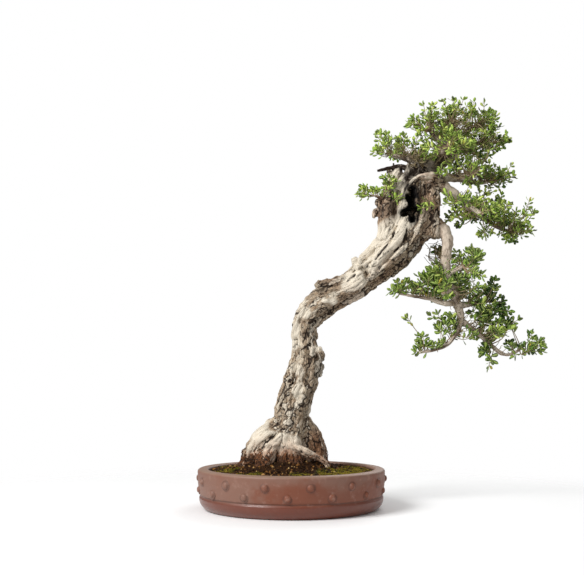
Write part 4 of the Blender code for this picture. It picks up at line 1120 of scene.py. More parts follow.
# Single sprigs that stand out from the pads: points, and how much at the tip has leaves.
SPRIGS: tuple[tuple[tuple[Row, ...], float], ...] = (
    (((232, -8, 267), (225, -10, 291), (213, -12, 308), (202, -14, 325)), 24),
    (((246, -9, 268), (236, -9, 266), (226, -9, 265), (217, -9, 267)), 26),
    (((270, -8, 277), (266, -9, 286), (262, -10, 296), (258, -10, 304)), 20),
    (((352, 8, 282), (354, 2, 272), (349, 0, 256), (344, 0, 241)), 16),
    (((392, 10, 266), (404, 10, 273), (420, 10, 270), (432, 10, 268)), 30),
    (((398, 10, 268), (410, 10, 279), (421, 10, 289), (424, 10, 298)), 24),
    (((360, 8, 306), (376, 8, 311), (390, 6, 318), (398, 4, 322)), 28),
    (((330, 6, 350), (345, 10, 363), (356, 10, 379), (361, 10, 393)), 26),
    (((284, -12, 392), (298, -10, 408), (308, -12, 426), (311, -12, 442)), 40),
    (((296, -10, 392), (310, -10, 405), (324, -12, 419), (330, -12, 432)), 34),
    (((212, -13, 361), (198, -13, 365), (184, -13, 369), (174, -13, 373)), 22),
    (((172, -12, 614), (166, -12, 634), (162, -12, 646), (160, -12, 656)), 14),
    (((236, -12, 662), (226, -10, 668), (218, -10, 672), (211, -10, 675)), 16),
    (((352, 8, 634), (371, 8, 637), (384, 8, 641), (393, 8, 645)), 22),
    (((356, 8, 574), (374, 6, 575), (389, 6, 577), (398, 6, 581)), 24),
    (((350, 0, 500), (362, 0, 516), (370, 0, 532), (375, 0, 546)), 24),
    (((396, 0, 486), (410, 0, 503), (418, 0, 519), (424, 0, 534)), 34),
    (((402, 4, 484), (416, 6, 494), (428, 6, 508), (432, 6, 516)), 30),
    (((338, -6, 502), (341, -6, 488), (342, -6, 477), (343, -6, 469)), 16),
    (((262, -34, 520), (252, -44, 516), (238, -48, 514), (223, -50, 510)), 30),
    (((258, -30, 530), (246, -42, 527), (236, -46, 524), (230, -47, 521)), 20),
    (((236, -12, 358), (230, -10, 366), (227, -12, 380), (225, -12, 397)), 36),
    (((258, -10, 352), (252, -10, 362), (249, -12, 376), (246, -12, 393)), 36),
    (((216, -13, 361), (211, -10, 366), (205, -12, 376), (201, -12, 388)), 28),
    (((276, -18, 352), (270, -20, 364), (266, -22, 378), (260, -24, 393)), 36),
    (((200, -13, 364), (196, -14, 372), (192, -14, 380), (186, -14, 386)), 20),
    (((240, -12, 358), (238, -24, 366), (236, -30, 380), (238, -32, 394)), 30),
)


# The pot


@dataclass
class DrumPot:
    """The round drum pot: inward lip, two rows of clay studs, a groove over its foot bead, drain holes."""

    finish: StonewareFinish = StonewareFinish()
    segments: int = 176
    drain_hole_radius: float = 10.0
    drain_hole_offset: float = 52.0
    seed: int = 7
    stud_segments: int = 30
    smooth_below: float = math.radians(42)
    studs_in_a_row: int = 14
    stud_rows: tuple[Row, ...] = ((50.0, 10.9), (34.0, -1.96))
    inside: Route = (
        (0, 10), (60, 10), (120, 10), (136, 10.6), (143.5, 13.5), (147.6, 20), (149.2, 32), (149.5, 48),
        (148.6, 54), (145.4, 58.4), (142.3, 60.8), (141.5, 62.9),
    )
    lip: Route = (
        (141.6, 64.4), (142.6, 66.1), (144.6, 67.2), (147.5, 67.5), (152.5, 67.35), (156.4, 67.0),
        (158.7, 65.9), (159.9, 64.1), (160.1, 61.6), (159.9, 58.5),
    )
    wall: Route = (
        (159.8, 54), (159.6, 48), (159.0, 42), (158.3, 36), (157.5, 30.5), (157.0, 27.6), (156.2, 25.6),
        (155.3, 24.4), (155.2, 23.4), (155.7, 22.3), (156.4, 21.3), (156.9, 20.0), (157.0, 18.4),
        (156.7, 15.5), (155.6, 11.5), (153.7, 8), (151.0, 4.8), (148.2, 2.3), (145.8, 0.9), (143.6, 0.15),
        (141, 0),
    )
    stud: Route = (
        (9.0, -1.2), (8.6, 0.02), (7.6, 0.28), (6.5, 0.36), (5.9, 0.6), (5.45, 1.3), (5.0, 2.2),
        (4.2, 3.0), (3.0, 3.6), (1.5, 3.95), (0.5, 4.02),
    )

    def wall_radius(self, height: float) -> float:
        """The outer wall's radius at a height over the groove, where the wall is nearly straight."""
        return 157.0 + (159.6 - 157.0) * (height - 26.5) / (50.0 - 26.5)

    def turned(self, profile: list[Vector], segments: int) -> Solid:
        """A closed solid of revolution.

        Args:
            profile: Radius and height points from the axis to the axis, the outer side run downwards.
            segments: Segments round it.

        Returns:
            Its points and faces.
        """
        rings = [p for p in profile if p.x > 0.01]
        across, back = np.sin(turns_of(segments)), -np.cos(turns_of(segments))
        rows = [np.stack([p.x * across, p.x * back, np.full(segments, p.y)], -1) for p in rings]
        ends = np.array([(0, 0, profile[0].y), (0, 0, profile[-1].y)])
        return np.concatenate([*rows, ends]), turned_over(ring_faces(len(rings), segments))

    def stud_at(self, turn: float, height: float, draw: random.Random) -> Solid:
        """One hand-pressed stud on the wall.

        Args:
            turn: Its turn from the front, in radians.
            height: Its height on the wall.
            draw: The source of its small irregularities.

        Returns:
            Its points and faces.
        """
        outward = Vector((math.sin(turn), -math.cos(turn), 0.0))
        aim = (outward + Vector([draw.uniform(-0.05, 0.05) for _ in range(3)])).to_track_quat("Z", "Y")
        profile = [Vector(p) for p in ((0, -1.2), *self.stud, (0, 4.03))]
        points, faces = self.turned(profile, self.stud_segments)
        size = draw.uniform(0.93, 1.07)
        wide, high = size * draw.uniform(0.96, 1.04), size * draw.uniform(0.96, 1.04)
        points = points * (wide, high, draw.uniform(0.9, 1.05))
        points = points @ np.array(aim.to_matrix()).T
        centre = outward * self.wall_radius(height) + UP * height
        return points + np.array(centre), [f[:, ::-1] for f in faces]

    def drain_plug(self, side: int) -> Object:
        """A round plug in the place of a drain hole, -1 for the left one and 1 for the right one."""
        bm = bmesh.new()
        size = self.drain_hole_radius * MM
        bmesh.ops.create_cone(bm, cap_ends=True, segments=48, radius1=size, radius2=size, depth=30 * MM)
        bmesh.ops.translate(bm, verts=bm.verts, vec=(side * self.drain_hole_offset * MM, 0, 5 * MM))
        return helper(mesh_of(bm, "drain_hole"), "drain_hole_helper")

    def build(self) -> None:
        """Builds the whole pot as one piece."""
        line = [*rounded(self.inside, 3), *rounded(self.lip, 3), *rounded(self.wall, 3), Vector((0, 0))]
        points, faces = self.turned(line, self.segments)
        body = Shells()
        body.add(points, faces)
        drum = helper(body.mesh("drum"), "drum_helper")
        mesh = carved(drum, [self.drain_plug(side) for side in (-1, 1)], "EXACT")
        draw = random.Random(self.seed)
        halo = np.concatenate([np.repeat(self.halo(), self.stud_segments), [0, 0]])
        studs = Shells()
        for height, first in self.stud_rows:
            for index in range(self.studs_in_a_row):
                turn = math.radians(first + 360 * index / self.studs_in_a_row)
                studs.add(*self.stud_at(turn, height, draw), halo=halo)
        bm = bmesh.new()
        bm.from_mesh(mesh)
        bm.verts.layers.float.new("halo")
        bm.from_mesh(studs.mesh("studs"))
        bm.to_mesh(mesh)
        bm.free()
        mesh.shade_smooth()
        mesh.set_sharp_from_angle(angle=self.smooth_below)
        show(mesh, "stoneware_drum", self.finish.material(), Slot.STONEWARE, "pot")

    def halo(self) -> Array:
        """How dark each ring of a stud is: darkest on its flat skirt, where it meets the wall."""
        return np.array([1.0 if radius > 5.6 else 0.25 if radius > 5.2 else 0.0 for radius, _ in self.stud])


# The soil and what grows on it


@dataclass
class SoilBed:
    """The soil: a mounded surface under the lip, and loose crumbs over it."""

    finish: SoilFinish = SoilFinish()
    mouth_radius: float = 141.5
    edge_height: float = 63.0
    mound_height: float = 21.0
    mound_centre: tuple[float, float] = (-8.0, 4.0)
    mound_reach: float = 112.0
    rings: int = 64
    segments: int = 150
    crumbs: int = 5200
    seed: int = 11
    floor_height: float = 10.36
    side: Route = ((140.8, 59.2), (148.2, 49.4), (147.2, 22.4), (137.3, 10.36))
    moss_spots: Route = (
        (92, -60, 44), (66, -84, 36), (112, -10, 30), (108, 40, 26), (-70, -92, 24), (20, -104, 26),
        (-112, -30, 22), (-96, 52, 28), (30, 98, 34), (-20, 110, 22),
    )

    def height(self, x: float, y: float) -> float:
        """The surface's height over a point of the pot.

        Args:
            x: Across, in millimetres.
            y: Front to back, in millimetres.

        Returns:
            The height in millimetres.
        """
        away = math.hypot(x - self.mound_centre[0], (y - self.mound_centre[1]) * 1.15) / self.mound_reach
        mound = self.mound_height * (1 - min(away, 1.0) ** 2) ** 1.3
        lumps = 1.6 * noise.noise(Vector((x, y, 0)) / 22) + 0.8 * noise.noise(Vector((x, y, 40)) / 9)
        fade = 1 - (math.hypot(x, y) / self.mouth_radius) ** 6
        return self.edge_height + mound + lumps * fade

    def moss_share(self, x: float, y: float) -> float:
        """How mossy a point of the surface is, 0 to 1."""
        near = max(1 - math.hypot(x - sx, y - sy) / reach for sx, sy, reach in self.moss_spots)
        ragged = near + 0.75 * noise.noise(Vector((x, y, 9)) / 13) + 0.3 * noise.noise(Vector((x, y, 3)) / 5)
        return min(max(ragged * 2.2 - 0.1, 0.0), 1.0)

    def surface(self) -> tuple[Array, Faces, Array, Array]:
        """The filling as one closed shell.

        Returns:
            Its points, its faces, and each point's tone and moss.
        """
        turns = turns_of(self.segments)
        rows, tones, moss = [], [], []
        for ring in range(1, self.rings + 1):
            radius = self.side[0][0] * (ring / self.rings) ** 0.92
            for turn in turns:
                x, y = radius * math.sin(turn), -radius * math.cos(turn)
                spot = Vector((x, y, 0))
                grit = 0.9 * noise.noise(spot / 3.6) + 0.6 * noise.noise(spot / 1.7)
                rows.append((x, y, self.height(x, y) + grit))
                tones.append(0.2 + 0.3 * noise.noise(spot / 5))
                moss.append(self.moss_share(x, y))
        for radius, height in self.side:
            rows += [(radius * math.sin(turn), -radius * math.cos(turn), height) for turn in turns]
        rows += [(0, 0, self.height(0, 0)), (0, 0, self.floor_height)]
        hidden = len(rows) - len(tones)
        faces = turned_over(ring_faces(self.rings + len(self.side), self.segments))
        return np.array(rows), faces, np.array(tones + [0.3] * hidden), np.array(moss + [0.0] * hidden)

    def spots(self, count: int, draw: random.Random, reach: float) -> list[tuple[float, float]]:
        """Random points of the surface, evenly spread.

        Args:
            count: How many.
            draw: The source of the points.
            reach: How far from the middle they may lie.

        Returns:
            Each point's place across and front to back.
        """
        found = []
        for _ in range(count):
            radius, turn = reach * math.sqrt(draw.random()), draw.uniform(0, 2 * math.pi)
            found.append((radius * math.sin(turn), -radius * math.cos(turn)))
        return found

    def build(self) -> None:
        """Builds the filling and its loose crumbs."""
        finish = self.finish.material()
        points, faces, tones, moss = self.surface()
        filling = Shells()
        filling.add(points, faces, tone=tones, moss=moss)
        crumbs = Shells()
        draw = random.Random(self.seed)
        grain, grain_faces = grain_of_soil()
        for x, y in self.spots(self.crumbs, draw, 139.0):
            size = min(0.7 + draw.expovariate(1.7), 3.0)
            squash = np.array([draw.uniform(0.7, 1.3), draw.uniform(0.7, 1.3), draw.uniform(0.55, 0.95)])
            shape = grain * squash * size * np.array([[draw.uniform(0.75, 1.2)] for _ in range(len(grain))])
            turn = Matrix.Rotation(draw.uniform(0, 6.28), 3, "Z")
            lift = np.array([x, y, self.height(x, y) + 0.25 * size])
            tone = draw.random() ** 2.1 * 0.9 if draw.random() < 0.87 else draw.uniform(0.8, 1.15)
            green = 0.6 * self.moss_share(x, y) * draw.random()
            crumbs.add(shape @ np.array(turn) + lift, grain_faces, tone=tone, moss=green)
        show(filling.mesh("soil_filling"), "soil_filling", finish, Slot.SOIL, "soil")
        loose = crumbs.mesh("soil_crumbs")
        loose.shade_flat()
        show(loose, "soil_crumbs", finish, Slot.SOIL)


def grain_of_soil() -> Solid:
    """The rough ball that every crumb is shaped from."""
    bm = bmesh.new()
    bmesh.ops.create_icosphere(bm, subdivisions=1, radius=1)
    return arrays_of(bm)


@dataclass
class MossPatches:
    """Short upright moss in cushions, most of it at the right."""

    bed: SoilBed
    finish: MossFinish = MossFinish()
    tries: int = 7200
    blades: int = 7
    seed: int = 23

    def build(self) -> None:
        """Builds every tuft as one piece."""
        draw = random.Random(self.seed)
        faces = np.array([(0, 2, 1), (0, 1, 3), (1, 2, 3), (2, 0, 3)])
        moss = Shells()
        for x, y in self.bed.spots(self.tries, draw, 138.0):
            if draw.random() > self.bed.moss_share(x, y):
                continue
            base = np.array([x, y, self.bed.height(x, y) - 0.3])
            for _ in range(self.blades):
                tilt = (draw.uniform(-0.7, 0.7), draw.uniform(-0.7, 0.7), 1.0)
                lean = np.array(tilt) * draw.uniform(1.3, 3.0)
                foot = base + np.array([draw.uniform(-1.5, 1.5), draw.uniform(-1.5, 1.5), 0])
                turn = draw.uniform(0, 6.28)
                width = draw.uniform(0.25, 0.5)
                ways = [np.array([math.cos(turn + a), math.sin(turn + a), 0]) for a in (0, 2.1, 4.2)]
                points = np.array([*(foot + width * way for way in ways), foot + lean])
                moss.add(points, [faces], reach=np.array([0.0, 0.0, 0.0, draw.uniform(0.6, 1.0)]))
        show(moss.mesh("moss"), "moss_patches", self.finish.material(), Slot.FOLIAGE)


@dataclass
class RootBeard:
    """Fine fibrous roots that hang over the foot of the trunk and run into the soil."""

    bed: SoilBed
    finish: Material
    roots: int = 430
    step_down: float = 2.6
    most_steps: int = 16
    widest_gap: float = 7.0
    middle: float = -10.0
    seed: int = 47

    def build(self, trunk: Object) -> None:
        """Builds every fine root as one piece.

        Args:
            trunk: The wood that they hang over.
        """
        corners = [v.co for v in trunk.data.vertices]
        wood = BVHTree.FromPolygons(corners, [p.vertices[:] for p in trunk.data.polygons])
        draw = random.Random(self.seed)
        shells = Shells()
        while len(shells.points) < self.roots:
            turn = math.radians(draw.triangular(-190, 130, -40))
            height = draw.uniform(78, 93) if draw.random() < 0.85 else draw.uniform(92, 102)
            stand = draw.uniform(0.2, 2.6)
            route = []
            while len(route) < self.most_steps:
                way = Vector((math.sin(turn), -math.cos(turn), 0))
                hit = wood.ray_cast((Vector((self.middle, 0, height)) + way * 160) * MM, -way)[0]
                if hit is None:
                    break
                spot = hit / MM + way * stand
                if route and (route[-1] - spot).length > self.widest_gap:
                    break
                route.append(spot)
                if height < self.bed.height(spot.x, spot.y) - 1.5:
                    break
                height -= self.step_down
                turn += draw.uniform(-0.045, 0.045)
                stand = max(0.2, stand + draw.uniform(-0.5, 0.8))
            if len(route) < 3:
                continue
            thick = draw.uniform(0.35, 0.95)
            line = tuple((*p, thick * (1 - 0.4 * i / len(route))) for i, p in enumerate(route))
            shells.add(*tube(rounded(line, 2), 5), young=0.0)
        show(shells.mesh("root_beard"), "fine_roots", self.finish, Slot.BARK)


# The wood


class Grain:
    """Lays a grain over wood: for each point, its place across and along the nearest route."""

    spacing = 5.0  # between two marks on a route, in millimetres
    batch = 3000  # how many points are compared with the marks at once
    apart = 400.0  # keeps the routes' marks apart along the grain

    def __init__(self, routes: list[Route], twists: list[float]) -> None:
        """Sets out marks along the routes.

        Args:
            routes: The routes that the wood grows along.
            twists: The grain's turn for each millimetre of each route.
        """
        centres, radii, frames, travel, turns = [], [], [], [], []
        for index, (route, twist) in enumerate(zip(routes, twists)):
            length = travel_of([Vector(p) for p in route])
            line = rounded(route, max(2, round(length / self.spacing / (len(route) - 1))))
            spots = [p.to_3d() for p in line]
            strides = np.linalg.norm(np.diff(np.array(spots), axis=0), axis=1)
            along = np.concatenate([[0.0], np.cumsum(strides)])
            centres += spots
            radii += [p.w for p in line]
            frames += frames_along(spots)
            travel.append(along + self.apart * index)
            turns.append(twist * along)
        self.centres, self.radii = np.array(centres), np.array(radii)
        self.ahead, self.side, self.across = (np.array(column) for column in zip(*frames))
        self.travel, self.turn = np.concatenate(travel), np.concatenate(turns)

    def nearest(self, points: Array) -> Array:
        """The mark whose surface is closest to each point.

        Args:
            points: Points in millimetres.

        Returns:
            An index for each.
        """
        found = np.empty(len(points), int)
        for start in range(0, len(points), self.batch):
            part = points[start : start + self.batch]
            square = (part**2).sum(1)[:, None] - 2 * part @ self.centres.T + (self.centres**2).sum(1)
            found[start : start + self.batch] = np.argmin(np.sqrt(np.maximum(square, 0)) - self.radii, axis=1)
        return found

    def lay(self, points: Array) -> Array:
        """The grain's own coordinates of each point.

        Args:
            points: Points in millimetres.

        Returns:
            Across, across and along, in millimetres, one row for each point.
        """
        near = self.nearest(points)
        away = points - self.centres[near]
        first = (away * self.side[near]).sum(1)
        second = (away * self.across[near]).sum(1)
        along = (away * self.ahead[near]).sum(1) + self.travel[near]
        cos, sin = np.cos(self.turn[near]), np.sin(self.turn[near])
        return np.stack([first * cos + second * sin, second * cos - first * sin, along], -1)


@dataclass
class OldTrunk:
    """Roots, trunk and head: fluted strands under flaky bark, with deep cracks and a hollow in the head."""

    finish: Material
    first_voxel: float = 1.9
    voxel: float = 1.25
    most_triangles: int = 194000
    core_share: float = 0.6
    strands: int = 6
    strand_turn: float = STRAND_TURN
    strand_offset: tuple[float, float] = (0.6, 0.76)
    strand_thickness: tuple[float, float] = (0.22, 0.42)
    lumps_in_a_burl: int = 7
    thick_limb: float = 7.5
    collar_length: float = 34.0
    foot_height: float = 65.0
    seed: int = 31

    def strand_shells(self) -> list[Solid]:
        """The trunk's core and the strands that wind round it.

        Returns:
            A tube for each.
        """
        spine = rounded(TRUNK, 4)
        points = [p.to_3d() for p in spine]
        coarse = [p.to_3d() for p in rounded(TRUNK, 2)]
        start_side = (coarse[1] - coarse[0]).normalized().orthogonal().normalized()
        frames = frames_along(points)
        shift = math.atan2(start_side.dot(frames[0][2]), start_side.dot(frames[0][1]))
        shells = [tube([Vector((*p.xyz, self.core_share * p.w)) for p in spine], 20)]
        for strand in range(self.strands):
            start = 2 * math.pi * strand / self.strands + shift
            route = []
            for index, (point, (_, side, across)) in enumerate(zip(points, frames)):
                radius = spine[index].w
                share = index / (len(spine) - 1)
                turn = start + self.strand_turn * share + 0.25 * math.sin(5 * share + 2.4 * strand)
                weight = 0.5 + 0.5 * math.sin(3.1 * strand + 9 * share)
                low, high = self.strand_thickness
                near, far = self.strand_offset
                offset = far - (far - near) * weight
                spot = point + (side * math.cos(turn) + across * math.sin(turn)) * offset * radius
                route.append(Vector((*spot, (low + (high - low) * weight) * radius)))
            shells.append(tube(route, 14))
        return shells

    def collar(self, route: Route) -> list[Vector]:
        """The first stretch of a thick limb, which grows out of the trunk and thins into the limb."""
        line = rounded(route, 8)
        count = max(4, round(len(line) * min(self.collar_length / travel_of(line), 1.0)))
        return [Vector((*p.xyz, p.w * (1.16 - 0.26 * i / (count - 1)))) for i, p in enumerate(line[:count])]

    def skin(self) -> Mesh:
        """The trunk's even skin, with its hollow, lumps and cracks.

        Returns:
            The mesh.
        """
        shells = Shells()
        for points, faces in self.strand_shells():
            shells.add(points, faces)
        for route in (*ROOTS.values(), *HEAD_PIECES.values()):
            shells.add(*tube(rounded(route, 4), 18))
        draw = random.Random(self.seed)
        for x, y, z, size in BURLS:
            for _ in range(self.lumps_in_a_burl):
                lump = size * draw.uniform(0.42, 0.72)
                spot = [c + draw.uniform(-0.5, 0.5) * size for c in (x, y, z)]
                half_sizes = (lump, lump * draw.uniform(0.7, 1.2), lump * draw.uniform(0.8, 1.3))
                shells.add(*ball(spot, half_sizes, 10))
        for root, tip, radius in SPLINTERS:
            middle = [0.5 * (a + b) + draw.uniform(-1.5, 1.5) for a, b in zip(root, tip)]
            line = rounded(((*root, radius), (*middle, 0.75 * radius), (*tip, 0.8)), 4)
            shells.add(*tube(line, 8))
        for route in LIMBS.values():
            if route[0][3] >= self.thick_limb:
                shells.add(*tube(self.collar(route), 14))
        body = helper(reskinned(shells.mesh("trunk_shells"), self.first_voxel, 2), "trunk_helper")
        mesh = carved(body, [self.hollow()], "MANIFOLD")
        self.push_in(mesh)
        return largest_shell(reskinned(mesh, self.voxel))

    def hollow(self) -> Object:
        """The ragged space that is hollowed out of the head.

        Returns:
            A passing object in its shape.
        """
        space = Shells()
        for centre, half_sizes in HOLLOWS:
            points, faces = ball(centre, half_sizes, 40)
            middle = np.array(centre)
            broad = [noise.noise(Vector((x, y, 0.45 * z)) / 11) for x, y, z in points]
            fine = [noise.noise(Vector(p) / 4.5) for p in points]
            ragged = 1 + 0.6 * np.array(broad) + 0.3 * np.array(fine)
            space.add(middle + (points - middle) * ragged[:, None], faces)
        return helper(reskinned(space.mesh("hollow"), 1.6), "hollow_helper")

    def push_in(self, mesh: Mesh) -> None:
        """Lumps of several sizes, and the deep cracks.

        Args:
            mesh: The skin, which is changed.
        """
        places = corners_of(mesh) / MM
        normals = corners_of(mesh, "normal")
        depths, _, _ = crack_depths(places)
        broad = np.array([noise.noise(Vector(p) / 24) for p in places])
        small = np.array([noise.noise(Vector(p) / 10 + Vector((9, 4, 2))) for p in places])
        places += normals * (3.0 * broad + 2.0 * small - depths)[:, None]
        move_corners(mesh, places * MM)

    def build(self) -> Object:
        """The trunk with its bark and colour values.

        Returns:
            The piece.
        """
        mesh = self.skin()
        Bark().dress(mesh)
        mesh = thinned(mesh, self.most_triangles)
        self.flatten_foot(mesh)
        mesh.shade_smooth()
        return show(mesh, "old_trunk", self.finish, Slot.BARK, "trunk")

    def flatten_foot(self, mesh: Mesh) -> None:
        """Rests the roots on a flat cut, down in the soil."""
        places = corners_of(mesh)
        places[:, 2] = np.maximum(places[:, 2], self.foot_height * MM)
        move_corners(mesh, places)


def travel_of(line: list[Vector]) -> float:
    """The length of a curve through points."""
    return sum((b.to_3d() - a.to_3d()).length for a, b in zip(line, line[1:]))


def crack_depths(places: Array) -> tuple[Array, Array, Array]:
    """How far the deep cracks push each point in, and the raised cords out.

    Args:
        places: Points in millimetres.

    Returns:
        The depth of each in millimetres, its share of a crack's full depth, and of a cord's full height.
    """
    depth, crack, raised = np.zeros((3, len(places)))
    for width, deep, route in CRACKS:
        reach = 1.6 * width
        line = np.array(rounded(route, 8))
        inside = np.all((places > line.min(0) - 2 * reach) & (places < line.max(0) + 2 * reach), axis=1)
        chosen = np.nonzero(inside)[0]
        if not len(chosen):
            continue
        wander = np.array([noise.noise(Vector(p) / 9) for p in places[chosen]]) * width * 0.7
        away = np.sqrt(((places[chosen, None] - line[None]) ** 2 * (1, 0.35, 1)).sum(2)).min(1) + wander
        near = np.maximum(away, 0)
        part = np.where(near < reach, (1 - (near / reach) ** 2) ** 2, 0.0)
        depth[chosen] += deep * part * (1 - 0.5 * (crack[chosen] > part))
        kind = crack if deep > 0 else raised
        kind[chosen] = np.maximum(kind[chosen], part)
    return depth, crack, raised


def wood_grain() -> Grain:
    """The grain of the whole tree, with a slow twist up the trunk."""
    routes = [*ROOTS.values(), *HEAD_PIECES.values(), *LIMBS.values()]
    return Grain([TRUNK, *routes], [STRAND_TWIST] + [LIMB_TWIST] * len(routes))


def zone_share(places: Array, zones: Route) -> Array:
    """The summed pull of round zones on each point.

    Args:
        places: Points in millimetres.
        zones: Centre x, y, z, reach and strength of each zone.

    Returns:
        The pull on each point.
    """
    total = np.zeros(len(places))
    for x, y, z, reach, strength in zones:
        away = np.linalg.norm(places - np.array([x, y, z]), axis=1) / reach
        part = np.clip(1.35 - away, 0, 1)
        total += strength * part * part * (3 - 2 * part)
    return total


@dataclass
class Bark:
    """Fissures, cords and flaky plates along the grain, and the values that the wood's finish reads."""

    relief: float = 1.0  # how deep it is, 1 for the trunk
    thin: float = 0.0  # how far the wood is thin limb, which is paler and smoother
    # Sizes in millimetres: across, across and along the grain.
    cord_size: Row = (7.2, 7.2, 95.0)
    fibre_size: Row = (3.2, 3.2, 42.0)
    ridge_size: Row = (2.2, 2.2, 26.0)
    plate_size: Row = (8.0, 8.0, 32.0)
    # Depths and heights in millimetres.
    cord_cleft: float = 2.5
    fibre_cleft: float = 0.9
    plate_cleft: float = 1.6
    cord_height: float = 1.3
    ridge_height: float = 0.5
    plate_height: float = 1.3

    def streaks(self, laid: Array, size: Row, shift: Row = (0.0, 0.0, 0.0)) -> Array:
        """Soft noise that is drawn out along the grain, shifted from noise of another kind."""
        return np.array([noise.noise(spot) for spot in laid / size + shift])

    def plates(self, laid: Array) -> tuple[Array, Array]:
        """The plates that bark splits into.

        Args:
            laid: Places in the wood's grain.

        Returns:
            How near each place is to a plate's edge, 1 at the edge, and its plate's own tone, 0 to 1.
        """
        edge, tone = np.empty(len(laid)), np.empty(len(laid))
        for index, spot in enumerate(laid):
            sway = 0.7 * noise.noise(spot / 9.0)
            a, b, along = spot / self.plate_size
            away, centres = noise.voronoi((a + sway, b - sway, along + 0.4 * sway))
            edge[index] = 1 - min((away[1] - away[0]) / 0.17, 1)
            tone[index] = noise.cell(centres[0] * 7.31)
        return edge, tone

    def painted_hollow_shade(self, places: Array) -> Array:
        """How much black painted shade each place gets, 1 inside the head's hollow.

        Args:
            places: Points in millimetres.

        Returns:
            A share for each point.
        """
        hollow_shade = np.zeros(len(places))
        for centre, half_sizes in HOLLOWS:
            inside = np.linalg.norm((places - np.array(centre)) / (np.array(half_sizes) + 3.5), axis=1)
            open_front = np.clip((places[:, 1] + 50) / 12, 0, 1)
            hollow_shade = np.maximum(hollow_shade, np.clip((1.1 - inside) / 0.22, 0, 1) * open_front)
        return hollow_shade

    def dress(self, mesh: Mesh) -> None:
        """Cuts the bark into wood and stores its values.

        Args:
            mesh: The wood, which is changed.
        """
        places = corners_of(mesh) / MM
        normals = corners_of(mesh, "normal")
        laid = wood_grain().lay(places)
        _, cracked, raised = crack_depths(places)
        bark = 0.5 + zone_share(places, BARK_ZONES)
        bark += np.array([0.8 * noise.noise(Vector(p) / 26) for p in places]) - 0.5 * self.thin
        bark = np.clip(bark - 0.6 * raised, 0, 1)
        rust = np.clip(zone_share(places, RUST_ZONES), 0, 1)
        shade = np.clip(zone_share(places, SHADE_ZONES), 0, 1)
        cord = np.abs(self.streaks(laid, self.cord_size))
        fibre = np.abs(self.streaks(laid, self.fibre_size, (0.0, 0.0, 40.0)))
        ridge = self.streaks(laid, self.ridge_size, (0.0, 5.0, 0.0))
        edge, tone = self.plates(laid)
        long_cleft = np.clip(1 - cord / 0.062, 0, 1)
        short_cleft = np.clip(1 - fibre / 0.12, 0, 1) * (0.2 + 0.3 * bark)
        flake_cleft = edge * np.clip(1.5 * bark - 0.25, 0, 1)
        push = -self.cord_cleft * long_cleft * (1.0 - 0.4 * bark)
        push = push - self.fibre_cleft * short_cleft - self.plate_cleft * flake_cleft
        swell = self.cord_height * np.sqrt(np.clip(cord / 0.4, 0, 1)) + self.ridge_height * ridge
        push += swell + self.plate_height * (tone - 0.4) * bark * (1 - edge)
        places += normals * (push * self.relief)[:, None]
        move_corners(mesh, places * MM)
        # The cleft value is painted shade, which follows the depth of the fissures and cracks.
        deep = np.clip(1.5 * cracked**2, 0, 1)
        cleft = np.maximum.reduce([long_cleft * (0.85 - 0.4 * bark), short_cleft, flake_cleft, deep])
        cleft = np.clip(cleft * (1 - 0.5 * raised), 0, 1)
        values = {"grain": laid, "bark": bark, "rust": rust, "cleft": cleft}
        values |= {"hollow": self.painted_hollow_shade(places), "shade": shade, "tone": tone}
        for kind, column in values.items():
            store(mesh, kind, column)


@dataclass
class Limbs:
    """The limbs as round tapering wood with knots, grown from the trunk's collars."""

    finish: Material
    sides: int = 18
    thin_sides: int = 12
    thin_radius: float = 5.0
    step: float = 2.2

    def limb(self, route: Route, phase: float) -> Solid:
        """One limb, lumpy and a little crooked.

        Args:
            route: Its points.
            phase: Where its own noise starts.

        Returns:
            Its points and faces.
        """
        steps = max(4, round(travel_of([Vector(p) for p in route]) / self.step / (len(route) - 1)))
        line = rounded(route, steps)
        for index, point in enumerate(line):
            knot = noise.noise(Vector((phase, index * self.step / 17, 3)))
            point.w *= 1.0 + 0.22 * knot
        sides = self.sides if route[0][3] > self.thin_radius else self.thin_sides
        points, faces = tube(line, sides)
        centres = np.repeat(np.array([p.xyz for p in line]), sides, axis=0)
        skin = points[: len(centres)]
        swell = np.array([noise.noise(Vector(p) / 7 + Vector((phase, 0, 0))) for p in skin])
        skin += (skin - centres) * (0.2 * swell)[:, None]
        return points, faces

    def build(self) -> None:
        """Builds every limb as one piece."""
        shells = Shells()
        for index, route in enumerate(LIMBS.values()):
            shells.add(*self.limb(route, 7.3 * index))
        mesh = shells.mesh("limbs")
        Bark(relief=0.5, thin=0.3).dress(mesh)
        mesh.shade_smooth()
        show(mesh, "limb_wood", self.finish, Slot.BARK)


# The foliage


@dataclass
class Leaf:
    """Where one leaf is, which way it lies, and how it looks."""

    root: Vector
    ahead: Vector
    wide: Vector
    length: float
    width: float
    droop: float
    fold: float
    tint: float
    yellowed: float
    dusk: float


